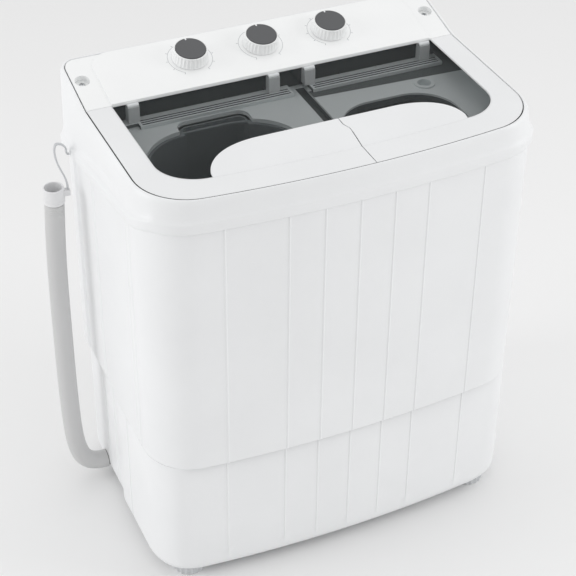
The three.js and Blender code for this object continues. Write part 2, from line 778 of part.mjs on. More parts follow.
function deck() {
  const reach = box(-300, 300, -300, 114, 500, 720);
  const plate = keep(prism(deckPlan(0), DECK_Z, DECK_Z + 3), reach);
  const wall = keep(
    cut(
      prism(deckPlan(0), DECK_Z, LID_SKIRT_Z - GAP),
      prism(deckPlan(WALL), DECK_Z - 1, LID_SKIRT_Z),
    ),
    reach,
  );
  const rearWall = box(-278, 278, GUTTER.back, 114, GUTTER.floor, 679);
  const bars = join(
    box(-212, 18, SLOT_BAR.front, SLOT_BAR.back, DECK_Z, SLOT_BAR_Z),
    box(47, 255, SLOT_BAR.front, SLOT_BAR.back, DECK_Z, SLOT_BAR_Z),
    box(-236, -211, 72, SLOT_BAR.back, DECK_Z, SLOT_BAR_Z),
  );
  const slots = [];
  for (let i = 0; i < 3; i++) {
    const y = SLOT_BAR.front + 3 + i * 5.4;
    slots.push(box(-208, 14, y, y + 2.4, DECK_Z + 2, SLOT_BAR_Z + 1));
    slots.push(box(51, 251, y, y + 2.4, DECK_Z + 2, SLOT_BAR_Z + 1));
  }
  const gutterCut = box(-250, 262, GUTTER.front, GUTTER.back, DECK_Z - 1, DECK_Z + 10);
  const gutter = cut(
    box(-253, 265, GUTTER.front - 2.6, GUTTER.back + 2, GUTTER.floor, DECK_Z + 1),
    box(-250, 262, GUTTER.front, GUTTER.back, GUTTER.floor + 2.6, DECK_Z + 2),
  );
  const ribs = [];
  for (let x = -190; x <= 230; x += 60)
    ribs.push(box(x, x + 2, GUTTER.front - 1, GUTTER.back + 1, GUTTER.floor + 1, DECK_Z - 3));
  const washLip = cut(
    washOpening(WALL, DECK_Z - 3, DECK_Z + 3),
    washOpening(0, DECK_Z - 20, DECK_Z + 20),
  );
  const spinLip = cut(
    spinOpening(WALL, DECK_Z - 10, DECK_Z + 3),
    spinOpening(0, DECK_Z - 20, DECK_Z + 20),
  );
  const troughCut = box(TROUGH.x0, TROUGH.x1, -150, 84, DECK_Z - 2, DECK_Z + 30);
  const trough = cut(
    box(TROUGH.x0 - 2.4, TROUGH.x1 + 2.4, -152.4, 86, TROUGH.floor, DECK_Z + 1),
    box(TROUGH.x0, TROUGH.x1, -150, 83.6, TROUGH.floor + 2.4, DECK_Z + 5),
  );
  const bossRecess = post(204, 22, 10, DECK_Z - 4, DECK_Z + 12, 20);
  const boss = cut(
    post(204, 22, 15, DECK_Z - 7, DECK_Z + 5, 24),
    spinOpening(0, DECK_Z - 20, DECK_Z + 20),
  );
  const holed = cut(
    join(plate, wall, bars),
    washOpening(0, 600, 700),
    spinOpening(0, 600, 700),
    gutterCut,
    troughCut,
    ...slots,
  );
  return cut(join(holed, rearWall, gutter, ...ribs, washLip, spinLip, trough, boss), bossRecess);
}

// ---------- wash side ----------
function washTub() {
  const FOOT_INSET = 4;
  const plan = (grow, taper = 0) =>
    roundedRect(
      WASH.x,
      WASH.y,
      WASH.w + 2 * (grow - taper),
      WASH.d + 2 * (grow - taper),
      WASH.r + grow - taper,
      4,
    );
  const b = WASH.bottom;
  const shell = solid(
    loft([
      atHeight(plan(0, 36), b),
      atHeight(plan(0, 20), b + 4),
      atHeight(plan(0, 10), b + 16),
      atHeight(plan(0, FOOT_INSET), b + 40),
      atHeight(plan(0, 1.6), WASH.top - 3),
      atHeight(plan(6), WASH.top - 3),
      atHeight(plan(6), WASH.top),
      atHeight(plan(-WALL, 1.6), WASH.top),
      atHeight(plan(-WALL, FOOT_INSET), b + 42),
      atHeight(plan(-WALL, 10), b + 20),
      atHeight(plan(-WALL, 20), b + 8),
      atHeight(plan(-WALL, 36), b + 3),
    ]),
  );
  const bayOuter = roundedRect(BAY.x, 40, BAY.w - 8, 2 * (BAY.back - 44), 12, 3);
  const bayInner = roundedRect(BAY.x, 36, BAY.w - 13, 2 * (BAY.back - 42.6), 10, 3);
  const hollowCore = solid(
    loft([
      atHeight(plan(-WALL, 10), b + 20),
      atHeight(plan(-WALL, FOOT_INSET), b + 42),
      atHeight(plan(-WALL, 1.6), WASH.top + 1),
    ]),
  );
  const bayWall = cut(prism(bayOuter, 420, WASH.top), hollowCore, prism(bayInner, 424, WASH.top + 1));
  const hub = post(WASH.x, WASH.y, 16, b - 2, b + 2.8, 24);
  const bore = post(WASH.x, WASH.y, 11.4, b - 10, b + 12, 24);
  const drain = post(VALVE.x, VALVE.y, VALVE.boreR, b - 20, b + 30, 16);
  const drainSleeve = post(VALVE.x, VALVE.y, VALVE.boreR + 3, b - 12, b + 12, 16);
  const sleeve = cut(drainSleeve, solid(loft([
    atHeight(plan(-WALL, 36), b + 3),
    atHeight(plan(-WALL, 20), b + 8),
    atHeight(plan(-WALL, 10), b + 20),
  ])));
  const bayOpening = keep(prism(bayInner, 424, WASH.top + 1), hollowCore.translate([0, 6, 0]));
  return cut(join(shell, bayWall, hub, sleeve), bayOpening, bore, drain);
}

/** Channel cover with slots, up the tub's right wall, over the overflow way to the drain. */
function overflowFilter() {
  const x = WASH.x + WASH.w / 2 - 12;
  const y0 = WASH.y - 26;
  const y1 = WASH.y + 26;
  const body = box(x - 8, x - 3, y0, y1, WASH.bottom + 60, WASH.top - 60);
  const slots = [];
  for (let i = 0; i < 9; i++) {
    const z = WASH.top - 90 - i * 13;
    slots.push(box(x - 12, x + 3, y0 + 8, y1 - 8, z, z + 5));
  }
  return cut(body, ...slots);
}

function pulsator() {
  const z = WASH.bottom + 9;
  const disc = turned(
    [
      [0, z],
      [PULSATOR_R - 22, z],
      [PULSATOR_R - 6, z + 6],
      [PULSATOR_R - 14, z + 6.5],
      [30, z + 9],
      [20, z + 17],
      [0, z + 19],
    ],
    WASH.x,
    WASH.y,
    30,
  );
  const fins = [];
  for (let i = 0; i < 6; i++) {
    const fin = new THREE.CylinderGeometry(2, 7, 52, 6).rotateZ(Math.PI / 2);
    fin.scale(1, 1, 1.1).translate(40, 0, z + 8);
    fin.rotateZ((i * Math.PI) / 3).translate(WASH.x, WASH.y, 0);
    fins.push(solid(fin));
  }
  const above = post(WASH.x, WASH.y, PULSATOR_R + 2, z + 4, z + 60, 24);
  const trimmed = fins.map((f) => keep(f, above));
  const socket = post(WASH.x, WASH.y, 6 + GAP, z - 2, z + 13, 16);
  return cut(join(disc, ...trimmed), socket);
}

/** Shaft, hub bearing under the tub, pulleys and belt. */
function washShaft() {
  return post(WASH.x, WASH.y, 6, BELT_Z - 14, WASH.bottom + 9 + 12.6, 16);
}

function washHub() {
  const top = WASH.bottom - 2 - GAP;
  const body = turned(
    [
      [6 + GAP, BELT_Z + 16],
      [24, BELT_Z + 16],
      [24, BELT_Z + 30],
      [34, BELT_Z + 36],
      [34, top - 12],
      [52, top - 4],
      [52, top],
      [6 + GAP, top],
      [6 + GAP, BELT_Z + 16],
    ],
    WASH.x,
    WASH.y,
    16,
  );
  const neck = cut(
    post(WASH.x, WASH.y, 11, top - 2, WASH.bottom + 7.4, 20),
    post(WASH.x, WASH.y, 6 + GAP, top - 20, WASH.bottom + 20, 20),
  );
  return join(body, neck);
}

function pulley(r, bore, x, y) {
  const z = BELT_Z;
  return turned(
    [
      [bore, z - 7],
      [r, z - 7],
      [r, z - 5],
      [r - 6, z - 2.4],
      [r - 6, z + 2.4],
      [r, z + 5],
      [r, z + 7],
      [bore, z + 7],
      [bore, z - 7],
    ],
    x,
    y,
    24,
  );
}

function washPulley() {
  const wheel = pulley(WASH_PITCH_R + PULLEY_RIM, 6 + GAP, WASH.x, WASH.y);
  const windows = [];
  for (let i = 0; i < 5; i++) {
    const a = (2 * Math.PI * i) / 5;
    windows.push(post(WASH.x + 34 * Math.cos(a), WASH.y + 34 * Math.sin(a), 12, 0, 200, 8));
  }
  return cut(wheel, ...windows);
}

function motorPulley() {
  return join(
    pulley(MOTOR_PITCH_R + PULLEY_RIM, 0.01, WASH_MOTOR.x, WASH_MOTOR.y),
    post(WASH_MOTOR.x, WASH_MOTOR.y, 5, BELT_Z - 10, BELT_Z + 26, 14),
  );
}

/** Outline of a loop round two wheels, offset by grow. */
function beltPlan(grow) {
  const a = { x: WASH.x, y: WASH.y, r: WASH_PITCH_R + grow };
  const b = { x: WASH_MOTOR.x, y: WASH_MOTOR.y, r: MOTOR_PITCH_R + grow };
  const d = Math.hypot(b.x - a.x, b.y - a.y);
  const along = Math.atan2(b.y - a.y, b.x - a.x);
  const lean = Math.acos((a.r - b.r) / d);
  const points = [];
  for (let i = 0; i <= 26; i++) {
    const t = lerp(along + lean, along + 2 * Math.PI - lean, i / 26);
    points.push([a.x + a.r * Math.cos(t), a.y + a.r * Math.sin(t)]);
  }
  for (let i = 0; i <= 8; i++) {
    const t = lerp(along - lean, along + lean, i / 8);
    points.push([b.x + b.r * Math.cos(t), b.y + b.r * Math.sin(t)]);
  }
  return points;
}

function driveBelt() {
  const inner = beltPlan(-BELT_T / 2);
  const outer = beltPlan(BELT_T / 2);
  return solid(
    loft(
      [
        atHeight(inner, BELT_Z - 1.6),
        atHeight(outer, BELT_Z - 2.1),
        atHeight(outer, BELT_Z + 2.1),
        atHeight(inner, BELT_Z + 1.6),
      ],
      true,
    ),
  );
}

/** A motor with its end shields and three legs on the base pan. */
function motor(x, y, z0, z1, shaftR) {
  const can = turned(
    [
      [0, z0],
      [MOTOR_R - 10, z0],
      [MOTOR_R - 2, z0 + 8],
      [MOTOR_R - 2, z0 + 20],
      [MOTOR_R, z0 + 20],
      [MOTOR_R, z1 - 20],
      [MOTOR_R - 2, z1 - 20],
      [MOTOR_R - 2, z1 - 8],
      [MOTOR_R - 10, z1],
      [0, z1],
    ],
    x,
    y,
    16,
  );
  const legs = [];
  for (let i = 0; i < 3; i++) {
    const a = Math.PI / 2 + (2 * Math.PI * i) / 3;
    const lx = x + (MOTOR_R + 4) * Math.cos(a);
    const ly = y + (MOTOR_R + 4) * Math.sin(a);
    legs.push(post(lx, ly, 7, FOOT_H + 4 + GAP, z0 + 34, 8));
  }
  const shaft = post(x, y, shaftR + GAP, z0 - 5, z0 + 14, 16);
  const shaftTop = post(x, y, shaftR + GAP, z1 - 14, z1 + 5, 16);
  return cut(join(can, ...legs), shaft, shaftTop);
}

// ---------- spin side ----------
function spinOuterTub() {
  const b = SPIN_TUB_BOTTOM;
  const r = SPIN_TUB_R;
  return turned(
    [
      [16, b],
      [r - 16, b],
      [r - 5, b + 6],
      [r, b + 22],
      [r, SPIN_TUB_TOP - 5],
      [r + 3, SPIN_TUB_TOP - 3],
      [r + 3, SPIN_TUB_TOP],
      [r - 2.6, SPIN_TUB_TOP],
      [r - 2.6, b + 23],
      [r - 7, b + 9],
      [r - 17, b + 2.8],
      [16, b + 2.8],
      [16, b],
    ],
    SPIN.x,
    SPIN.y,
    30,
  );
}

function spinBoot() {
  const b = SPIN_TUB_BOTTOM;
  return turned(
    [
      [7.6, b + 3.1],
      [26, b + 3.1],
      [26, b + 6],
      [17, b + 8],
      [17, b + 12],
      [11, b + 20],
      [7.6, b + 20],
      [7.6, b + 3.1],
    ],
    SPIN.x,
    SPIN.y,
    14,
  );
}

function spinBasket() {
  const b = BASKET_BOTTOM;
  const r = BASKET_R;
  const drum = turned(
    [
      [7 + GAP, b],
      [r - 14, b],
      [r - 4, b + 5],
      [r - 2, b + 18],
      [r - 2, BASKET_TOP - 26],
      [r, BASKET_TOP - 24],
      [r, BASKET_TOP],
      [r - 15, BASKET_TOP],
      [r - 15, BASKET_TOP - 16],
      [r - 4.6, BASKET_TOP - 30],
      [r - 4.6, b + 19],
      [r - 7, b + 8],
      [r - 15, b + 2.8],
      [22, b + 2.8],
      [18, b + 20],
      [7 + GAP, b + 20],
      [7 + GAP, b],
    ],
    SPIN.x,
    SPIN.y,
    30,
  );
  const slots = [];
  for (let i = 0; i < 6; i++)
    for (let k = 0; k < 2; k++) {
      const slot = new THREE.BoxGeometry(12, 5, 60);
      slot.translate(r - 3, 0, b + 80 + k * 110).rotateZ((i * Math.PI) / 3 + k * 0.52);
      slots.push(solid(slot.translate(SPIN.x, SPIN.y, 0)));
    }
  return cut(drum, ...slots);
}

function spinShaft() {
  return post(SPIN.x, SPIN.y, 7, 126, BASKET_BOTTOM + 26, 18);
}

const BRAKE_R = 36;
const BRAKE_Z = 150;
const BRAKE_PIN = { x: SPIN.x + 74, y: SPIN.y + 6 };

function brakeDrum() {
  return turned(
    [
      [7 + GAP, BRAKE_Z],
      [BRAKE_R, BRAKE_Z],
      [BRAKE_R, BRAKE_Z + 18],
      [BRAKE_R - 5, BRAKE_Z + 18],
      [BRAKE_R - 5, BRAKE_Z + 4],
      [16, BRAKE_Z + 4],
      [16, BRAKE_Z + 22],
      [7 + GAP, BRAKE_Z + 22],
      [7 + GAP, BRAKE_Z],
    ],
    SPIN.x,
    SPIN.y,
    20,
  );
}

/** Lever with a lined shoe that bears on the drum when the spin lid is up. */
function brakeArm() {
  const { x, y } = BRAKE_PIN;
  const eye = post(x, y, 9, BRAKE_Z + 4, BRAKE_Z + 14, 18);
  const lever = box(x - 5, x + 5, y - 52, y, BRAKE_Z + 6, BRAKE_Z + 12);
  const shoePlan = [];
  const reach = BRAKE_R + 3.2;
  for (let i = 0; i <= 6; i++) {
    const a = lerp(-0.62, 0.12, i / 6);
    shoePlan.push([SPIN.x + (reach + 6) * Math.cos(a), SPIN.y + (reach + 6) * Math.sin(a)]);
  }
  for (let i = 6; i >= 0; i--) {
    const a = lerp(-0.62, 0.12, i / 6);
    shoePlan.push([SPIN.x + reach * Math.cos(a), SPIN.y + reach * Math.sin(a)]);
  }
  const shoe = prism(shoePlan, BRAKE_Z + 2, BRAKE_Z + 16);
  const link = box(SPIN.x + reach - 5, x, y - 34, y - 26, BRAKE_Z + 6, BRAKE_Z + 12);
  const bore = post(x, y, 3.4, 0, 400, 16);
  return cut(join(eye, lever, link, shoe), bore);
}

/** Post of the base pan that carries the brake lever. */
function brakePost() {
  const { x, y } = BRAKE_PIN;
  return join(
    post(x, y, 10, FOOT_H + 2, BRAKE_Z + 4 - GAP, 16),
    post(x, y, 3, FOOT_H + 20, BRAKE_Z + 17, 14),
  );
}

// ---------- drain ----------
/** Housing under the tub's drain: a seat stands between the way in and the outlet below it. */
function drainValve() {
  const { x, y, low, outletZ, seatZ, seatR, boreR } = VALVE;
  const top = WASH.bottom - 12 - GAP;
  const alongX = (r, length, cx) =>
    solid(
      new THREE.CylinderGeometry(r, r, length, 16).rotateZ(Math.PI / 2).translate(cx, y, outletZ),
    );
  const body = join(
    post(x, y, 22, low, 120, 20),
    post(x, y, boreR + 3, 116, top, 18),
    alongX(14, 40, x - 22),
  );
  const chamber = post(x, y, boreR, seatZ, top + 4, 18);
  const seatHole = post(x, y, seatR, outletZ, seatZ + 1, 18);
  const outlet = alongX(11, 50, x - 26);
  const stand = box(x - 6, x + 6, y - 6, y + 6, FOOT_H + 4 + GAP, low + 1);
  return join(cut(body, chamber, seatHole, outlet), stand);
}

/** Rubber plug that lifts off its seat to empty the wash tub. */
function drainPlunger() {
  const z = VALVE.seatZ + GAP;
  return turned(
    [
      [0, z],
      [9, z],
      [10.6, z + 1.8],
      [10.6, z + 5],
      [4, z + 9],
      [2.6, z + 11],
      [2.6, z + 17],
      [0, z + 17],
    ],
    VALVE.x,
    VALVE.y,
    14,
  );
}

/** Bent pipe from the valve to the port in the left of the base. */
function drainPipe() {
  const x = VALVE.x - 42 - GAP;
  const { y, outletZ } = VALVE;
  const points = [
    [x, y, outletZ],
    [x - 7, y, outletZ],
    [x - 14, y + 1, outletZ - 1],
    [-260, 22, 74],
    [-262, 58, 48],
    [-262, 88, 35],
    [-267, 100, PORT_Z],
    [-273, PORT_Y, PORT_Z],
    [-279, PORT_Y, PORT_Z],
    [HOSE_EXIT_X + GAP, PORT_Y, PORT_Z],
  ].map((p) => new THREE.Vector3(...p));
  return tube(points, 12.8, 8, 10, 9.5);
}

/** A round pipe along a smooth route; bore 0 makes it solid. */
function tube(points, r, sides, steps, bore = 0) {
  const path = new THREE.CatmullRomCurve3(points, false, "centripetal");
  const section = new THREE.Shape(circle(0, 0, r, sides).map(([x, y]) => new THREE.Vector2(x, y)));
  if (bore)
    section.holes.push(
      new THREE.Path(circle(0, 0, bore, sides).map(([x, y]) => new THREE.Vector2(x, y))),
    );
  const g = new THREE.ExtrudeGeometry(section, { steps, extrudePath: path, bevelEnabled: false });
  return solid(g);
}

const HOSE_EXIT_X = -284.6;
const HOSE_ROUTE = [
  [HOSE_EXIT_X, PORT_Z],
  [-289, PORT_Z],
  [-299, 32.2],
  [-312, 38],
  [-322.5, 50],
  [-329, 69.4],
  [-333, 95.6],
  [-335, 130],
  [-336.2, 180],
  [-336.6, 240],
  [-336.5, 300],
  [-336.2, 360],
  [-335.4, 420],
  [-333.4, 480],
  [-330.8, 530],
];

function drainHose() {
  const points = HOSE_ROUTE.map(([x, z]) => new THREE.Vector3(x, PORT_Y, z));
  return tube(points, HOSE_R, 10, 22);
}

const HOSE_END = { x: -330.8, z: 530 };
const COLLAR_R = 15;
const COLLAR_BORE_R = 12.6;

function hoseCollar() {
  const z = HOSE_END.z + GAP + 0.9;
  const x = HOSE_END.x + 0.3;
  const sleeve = turned(
    [
      [COLLAR_BORE_R, z],
      [HOSE_R, z],
      [COLLAR_R, z + 2],
      [COLLAR_R, z + 23],
      [COLLAR_R - 1, z + 25],
      [COLLAR_BORE_R, z + 25],
      [COLLAR_BORE_R, z],
    ],
    x,
    PORT_Y,
    20,
  );
  const lug = box(x + 13.4, x + 23, PORT_Y - 4, PORT_Y + 4, z + 8, z + 17);
  return join(sleeve, lug);
}

function hoseStrap() {
  const points = [
    [-310, PORT_Y, 548.7],
    [-310, PORT_Y + 0.4, 555],
    [-312, 106, 566],
    [-317, 112, 580],
    [-320, 115, 592],
    [-320.6, 117, 606],
    [-317.6, 119, 613],
    [-309, 122, 610],
    [-302, 126, 600],
    [-300.4, 130, 590],
    [-298.6, 131.4, 586.6],
    [-295.9, 131.6, 586.2],
  ].map((p) => new THREE.Vector3(...p));
  const path = new THREE.CatmullRomCurve3(points, false, "centripetal");
  const section = new THREE.Shape([
    new THREE.Vector2(-1.2, -2.4),
    new THREE.Vector2(1.2, -2.4),
    new THREE.Vector2(1.2, 2.4),
    new THREE.Vector2(-1.2, 2.4),
  ]);
  return solid(
    new THREE.ExtrudeGeometry(section, { steps: 26, extrudePath: path, bevelEnabled: false }),
  );
}

// ---------- mains entry ----------
function cableGland() {
  const along = (r, y0, y1, n) =>
    solid(new THREE.CylinderGeometry(r, r, y1 - y0, n).translate(200, (y0 + y1) / 2, 150));
  const body = join(
    along(8, BASE_BACK + GAP, BASE_BACK + 5, 18),
    along(5.5, BASE_BACK - 12, BASE_BACK + 1, 16),
  );
  return cut(body, along(3.2, BASE_BACK - 30, BASE_BACK + 30, 14));
}

// ---------- assembly ----------
const root = new THREE.Group();
root.name = "mini_washer";

function add(name, body, material) {
  const mesh = new THREE.Mesh(toGeometry(body), material());
  mesh.name = name;
  mesh.material.name = name;
  root.add(mesh);
}

const glandHole = solid(
  new THREE.CylinderGeometry(5.8, 5.8, 30, 16).translate(200, BASE_BACK - 2, 150),
);
const coverHoles = COVER_SCREWS.map(([x, z]) => screwHole(x, BASE_BACK - 2, z));
add("base_skirt", cut(baseSkirt(), glandHole, ...coverHoles), WHITE);
add("base_pan", basePan(), LIGHT_GREY);
["front_left", "front_right", "rear_left", "rear_right"].forEach((where, i) =>
  add(`foot_${where}`, foot(FEET[i]), LIGHT_GREY),
);
add("housing", housing(), WHITE);
add("top_frame", topFrame(), WHITE);
add("back_cover", backCover(), WHITE);
COVER_SCREWS.forEach((at, i) => add(`back_screw_${i + 1}`, coverScrew(at), STEEL));
add("control_panel", controlPanel(), PANEL_WHITE);
add("panel_screw_left", panelScrew(-1), STEEL);
add("panel_screw_right", panelScrew(1), STEEL);
for (const knob of KNOBS) {
  add(`${knob.name}_switch`, timerBody(knob), DARK);
  add(`${knob.name}_spindle`, spindle(knob.x), STEEL);
  add(`${knob.name}_knob`, knobBody(knob.x), PANEL_WHITE);
  add(`${knob.name}_cap`, knobCap(knob.x), DARK);
}
add("deck", deck(), DECK_GREY);
add("wash_lid_frame", lidFrame(-300, LID_SPLIT - 0.7, -ARCH_END, LID_SPLIT - 0.7), WHITE);
add("wash_lid_pane", lidPane(-300, LID_SPLIT - 0.7, HINGE_X.wash), paneMaterial);
add("spin_lid_frame", lidFrame(LID_SPLIT + 0.7, 300, LID_SPLIT + 0.7, ARCH_END), WHITE);
add("spin_lid_pane", lidPane(LID_SPLIT + 0.7, 300, HINGE_X.spin), paneMaterial);
add("wash_hinge_clip_left", hingeClip(HINGE_X.wash[0]), LIGHT_GREY);
add("wash_hinge_clip_right", hingeClip(HINGE_X.wash[1]), LIGHT_GREY);
add("spin_hinge_clip_left", hingeClip(HINGE_X.spin[0]), LIGHT_GREY);
add("spin_hinge_clip_right", hingeClip(HINGE_X.spin[1]), LIGHT_GREY);
add("wash_tub", washTub(), TUB_GREY);
add("overflow_filter", overflowFilter(), LIGHT_GREY);
add("pulsator", pulsator(), LIGHT_GREY);
add("wash_shaft", washShaft(), STEEL);
add("wash_hub", washHub(), ALLOY);
add("wash_pulley", washPulley(), ALLOY);
add("drive_belt", driveBelt(), BLACK);
add("motor_pulley", motorPulley(), ALLOY);
add("wash_motor", motor(WASH_MOTOR.x, WASH_MOTOR.y, 84, 168, 5), MOTOR_STEEL);
add("spin_outer_tub", spinOuterTub(), TUB_GREY);
add("spin_boot", spinBoot(), BLACK);
add("spin_basket", spinBasket(), LIGHT_GREY);
add("spin_shaft", spinShaft(), STEEL);
add("brake_drum", brakeDrum(), ALLOY);
add("brake_arm", brakeArm(), MOTOR_STEEL);
add("spin_motor", motor(SPIN.x, SPIN.y, 38, 138, 7), MOTOR_STEEL);
add("drain_valve_body", drainValve(), LIGHT_GREY);
add("drain_plunger", drainPlunger(), BLACK);
add("drain_pipe", drainPipe(), BLACK);
add("drain_hose", drainHose(), HOSE_GREY);
add("hose_collar", hoseCollar(), LIGHT_GREY);
add("hose_strap", hoseStrap(), LIGHT_GREY);
add("cable_gland", cableGland(), BLACK);

export default root;
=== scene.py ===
"""Portable twin-tub mini washer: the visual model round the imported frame.

Lengths are in millimetres in the functions below and become metres in make_object.
+X is the machine's right, +Y its back and +Z up, as in the frame.
"""
import json
import math

import bmesh
import bpy
from mathutils import Matrix, Vector


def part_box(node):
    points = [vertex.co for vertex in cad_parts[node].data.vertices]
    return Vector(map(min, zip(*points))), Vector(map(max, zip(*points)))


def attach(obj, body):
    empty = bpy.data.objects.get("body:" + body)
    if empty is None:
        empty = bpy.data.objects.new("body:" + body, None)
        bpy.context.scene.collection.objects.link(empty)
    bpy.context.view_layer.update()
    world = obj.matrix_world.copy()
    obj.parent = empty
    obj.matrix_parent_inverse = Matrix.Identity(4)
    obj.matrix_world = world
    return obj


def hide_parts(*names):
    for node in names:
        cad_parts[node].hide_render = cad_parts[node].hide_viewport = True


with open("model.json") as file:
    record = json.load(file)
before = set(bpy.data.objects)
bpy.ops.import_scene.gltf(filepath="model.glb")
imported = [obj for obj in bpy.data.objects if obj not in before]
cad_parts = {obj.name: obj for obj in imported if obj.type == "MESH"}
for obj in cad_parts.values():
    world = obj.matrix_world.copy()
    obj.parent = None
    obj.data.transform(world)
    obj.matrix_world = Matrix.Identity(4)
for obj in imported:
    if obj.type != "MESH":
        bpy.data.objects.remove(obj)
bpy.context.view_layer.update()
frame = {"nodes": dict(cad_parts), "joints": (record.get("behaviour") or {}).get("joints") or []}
NODES = frame["nodes"]
MM = 0.001


def mm_box(node):
    """Lowest and highest corner of a CAD node, in millimetres."""
    low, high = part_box(node)
    return Vector(low) / MM, Vector(high) / MM


def joint_point(name):
    """A joint's point in millimetres."""
    joint = next(j for j in frame["joints"] if j["name"] == name)
    return Vector(joint["pos_m"]) / MM


# ---------- driving dimensions, from the frame ----------
HOUSING_LOW, HOUSING_HIGH = mm_box("housing")
BASE_LOW, BASE_HIGH = mm_box("base_skirt")
RIM_LOW, RIM_HIGH = mm_box("top_frame")
FRAME_LOW, FRAME_HIGH = mm_box("wash_lid_frame")
SPIN_FRAME_LOW = mm_box("spin_lid_frame")[0]
PANE_LOW, PANE_HIGH = mm_box("wash_lid_pane")
PANEL_LOW, PANEL_HIGH = mm_box("control_panel")
TUB_HIGH = mm_box("wash_tub")[1]
BASKET_LOW, BASKET_HIGH = mm_box("spin_basket")
OUTER_LOW, OUTER_HIGH = mm_box("spin_outer_tub")

GAP = 0.3
WALL = 2.6
BOW = 12.2
PLEATS = (-190, -102, -51, 0, 51, 102, 190)
PLEAT_W = 1.7
PLEAT_H = 1.1
BODY_HALF = HOUSING_HIGH.x
BODY_FRONT = HOUSING_LOW.y + PLEAT_H
BODY_BACK = HOUSING_HIGH.y
BODY_BOTTOM = HOUSING_LOW.z
BASE_HALF = BASE_HIGH.x
BASE_FRONT = BASE_LOW.y + PLEAT_H
BASE_BACK = BASE_HIGH.y
FOOT_H = BASE_LOW.z
LIP_TOP = BASE_HIGH.z
RIM_HALF = RIM_HIGH.x
RIM_FRONT = RIM_LOW.y
RIM_BACK = RIM_HIGH.y
LID_GAP_HALF = 281.4
LID_GAP_FRONT = -186.2
LID_GAP_BACK = 187.6
CORNER_R = 76
BELT_BOTTOM = 629
RIDGE_DROP = 51
LID_HALF = -FRAME_LOW.x
LID_FRONT = FRAME_LOW.y
LID_REAR = FRAME_HIGH.y
LID_SKIRT_Z = FRAME_LOW.z
LID_SKIN = 1.6
ARCH_RISE = 9.5
LID_TOP = FRAME_HIGH.z - ARCH_RISE
SPLIT_LEFT = FRAME_HIGH.x
SPLIT_RIGHT = SPIN_FRAME_LOW.x
WINDOW_HALF = 245.2
WINDOW_FRONT = -142
ARCH_REAR = -80
ARCH_FLAT = 100
ARCH_END = 185
TILT = math.radians(13.56)
PANEL_FRONT = PANEL_LOW.y
PANEL_BACK = PANEL_HIGH.y
FACE_RISE = 1.8
SCREW_AT = (266, 142)
KNOBS = {
    "wash_timer": joint_point("wash_timer_turn"),
    "wash_selector": joint_point("wash_selector_turn"),
    "spin_timer": joint_point("spin_timer_turn"),
}
KNOB_BASE = FACE_RISE + 0.5
KNOB_H = 16.5
DECK_Z = 640
SLOT_BAR_Z = 648
WASH_X, WASH_Y = joint_point("agitator_spin").xy
SPIN_X, SPIN_Y = joint_point("basket_spin").xy
WASH_W, WASH_D, WASH_R = 223, 206, 80
TUB_BOTTOM = 148
SPIN_W, SPIN_D, SPIN_R = 173, 180, 60
BAY_X, BAY_W, BAY_BACK, BAY_R = -112.5, 105, 60, 16
HINGE = joint_point("wash_lid_hinge")


# ---------- camera ----------
CAMERA_SHIFT = (-0.0336, -0.0255)


def aim_camera():
    """The photograph's viewpoint: front left, looking down at 36 degrees."""
    target = Vector((1.57, -25.44, 396.71)) * MM
    azimuth, elevation, roll = math.radians(-25.42), math.radians(36.29), math.radians(1.09)
    distance = 2353.46 * MM
    back = Vector(
        (
            math.sin(azimuth) * math.cos(elevation),
            -math.cos(azimuth) * math.cos(elevation),
            math.sin(elevation),
        )
    )
    camera = bpy.data.objects.new("camera", bpy.data.cameras.new("camera"))
    bpy.context.scene.collection.objects.link(camera)
    right = Vector((0, 0, 1)).cross(back).normalized()
    up = back.cross(right)
    turned_right = right * math.cos(roll) + up * math.sin(roll)
    turned_up = up * math.cos(roll) - right * math.sin(roll)
    axes = Matrix((turned_right, turned_up, back)).transposed()
    camera.matrix_world = Matrix.Translation(target + back * distance) @ axes.to_4x4()
    camera.data.sensor_width = 36
    camera.data.lens = 100.74
    camera.data.shift_x = CAMERA_SHIFT[0]
    camera.data.shift_y = CAMERA_SHIFT[1]
    camera.data.clip_end = 50
    bpy.context.scene.camera = camera


aim_camera()


# ---------- materials ----------
def linear(rgb):
    """An 8 bit screen colour as the linear colour a shader takes."""
    out = []
    for value in rgb:
        c = value / 255
        out.append(c / 12.92 if c <= 0.04045 else ((c + 0.055) / 1.055) ** 2.4)
    return (*out, 1)


def shade(rgb, factor):
    return tuple(min(1, c * factor) for c in linear(rgb)[:3]) + (1,)


class Nodes:
    """Small helper round a material's node tree."""

    def __init__(self, name):
        self.material = bpy.data.materials.new(name)
        self.material.use_nodes = True
        self.tree = self.material.node_tree
        self.bsdf = self.tree.nodes["Principled BSDF"]

    def add(self, kind, **values):
        node = self.tree.nodes.new(kind)
        for key, value in values.items():
            if hasattr(node, key):
                setattr(node, key, value)
            else:
                node.inputs[key.replace("_", " ")].default_value = value
        return node

    def link(self, source, target):
        self.tree.links.new(source, target)

    def ramp(self, source, stops):
        node = self.tree.nodes.new("ShaderNodeValToRGB")
        elements = node.color_ramp.elements
        for element, (at, colour) in zip(elements, stops):
            element.position = at
            element.color = colour
        self.link(source, node.inputs["Fac"])
        return node.outputs["Color"]


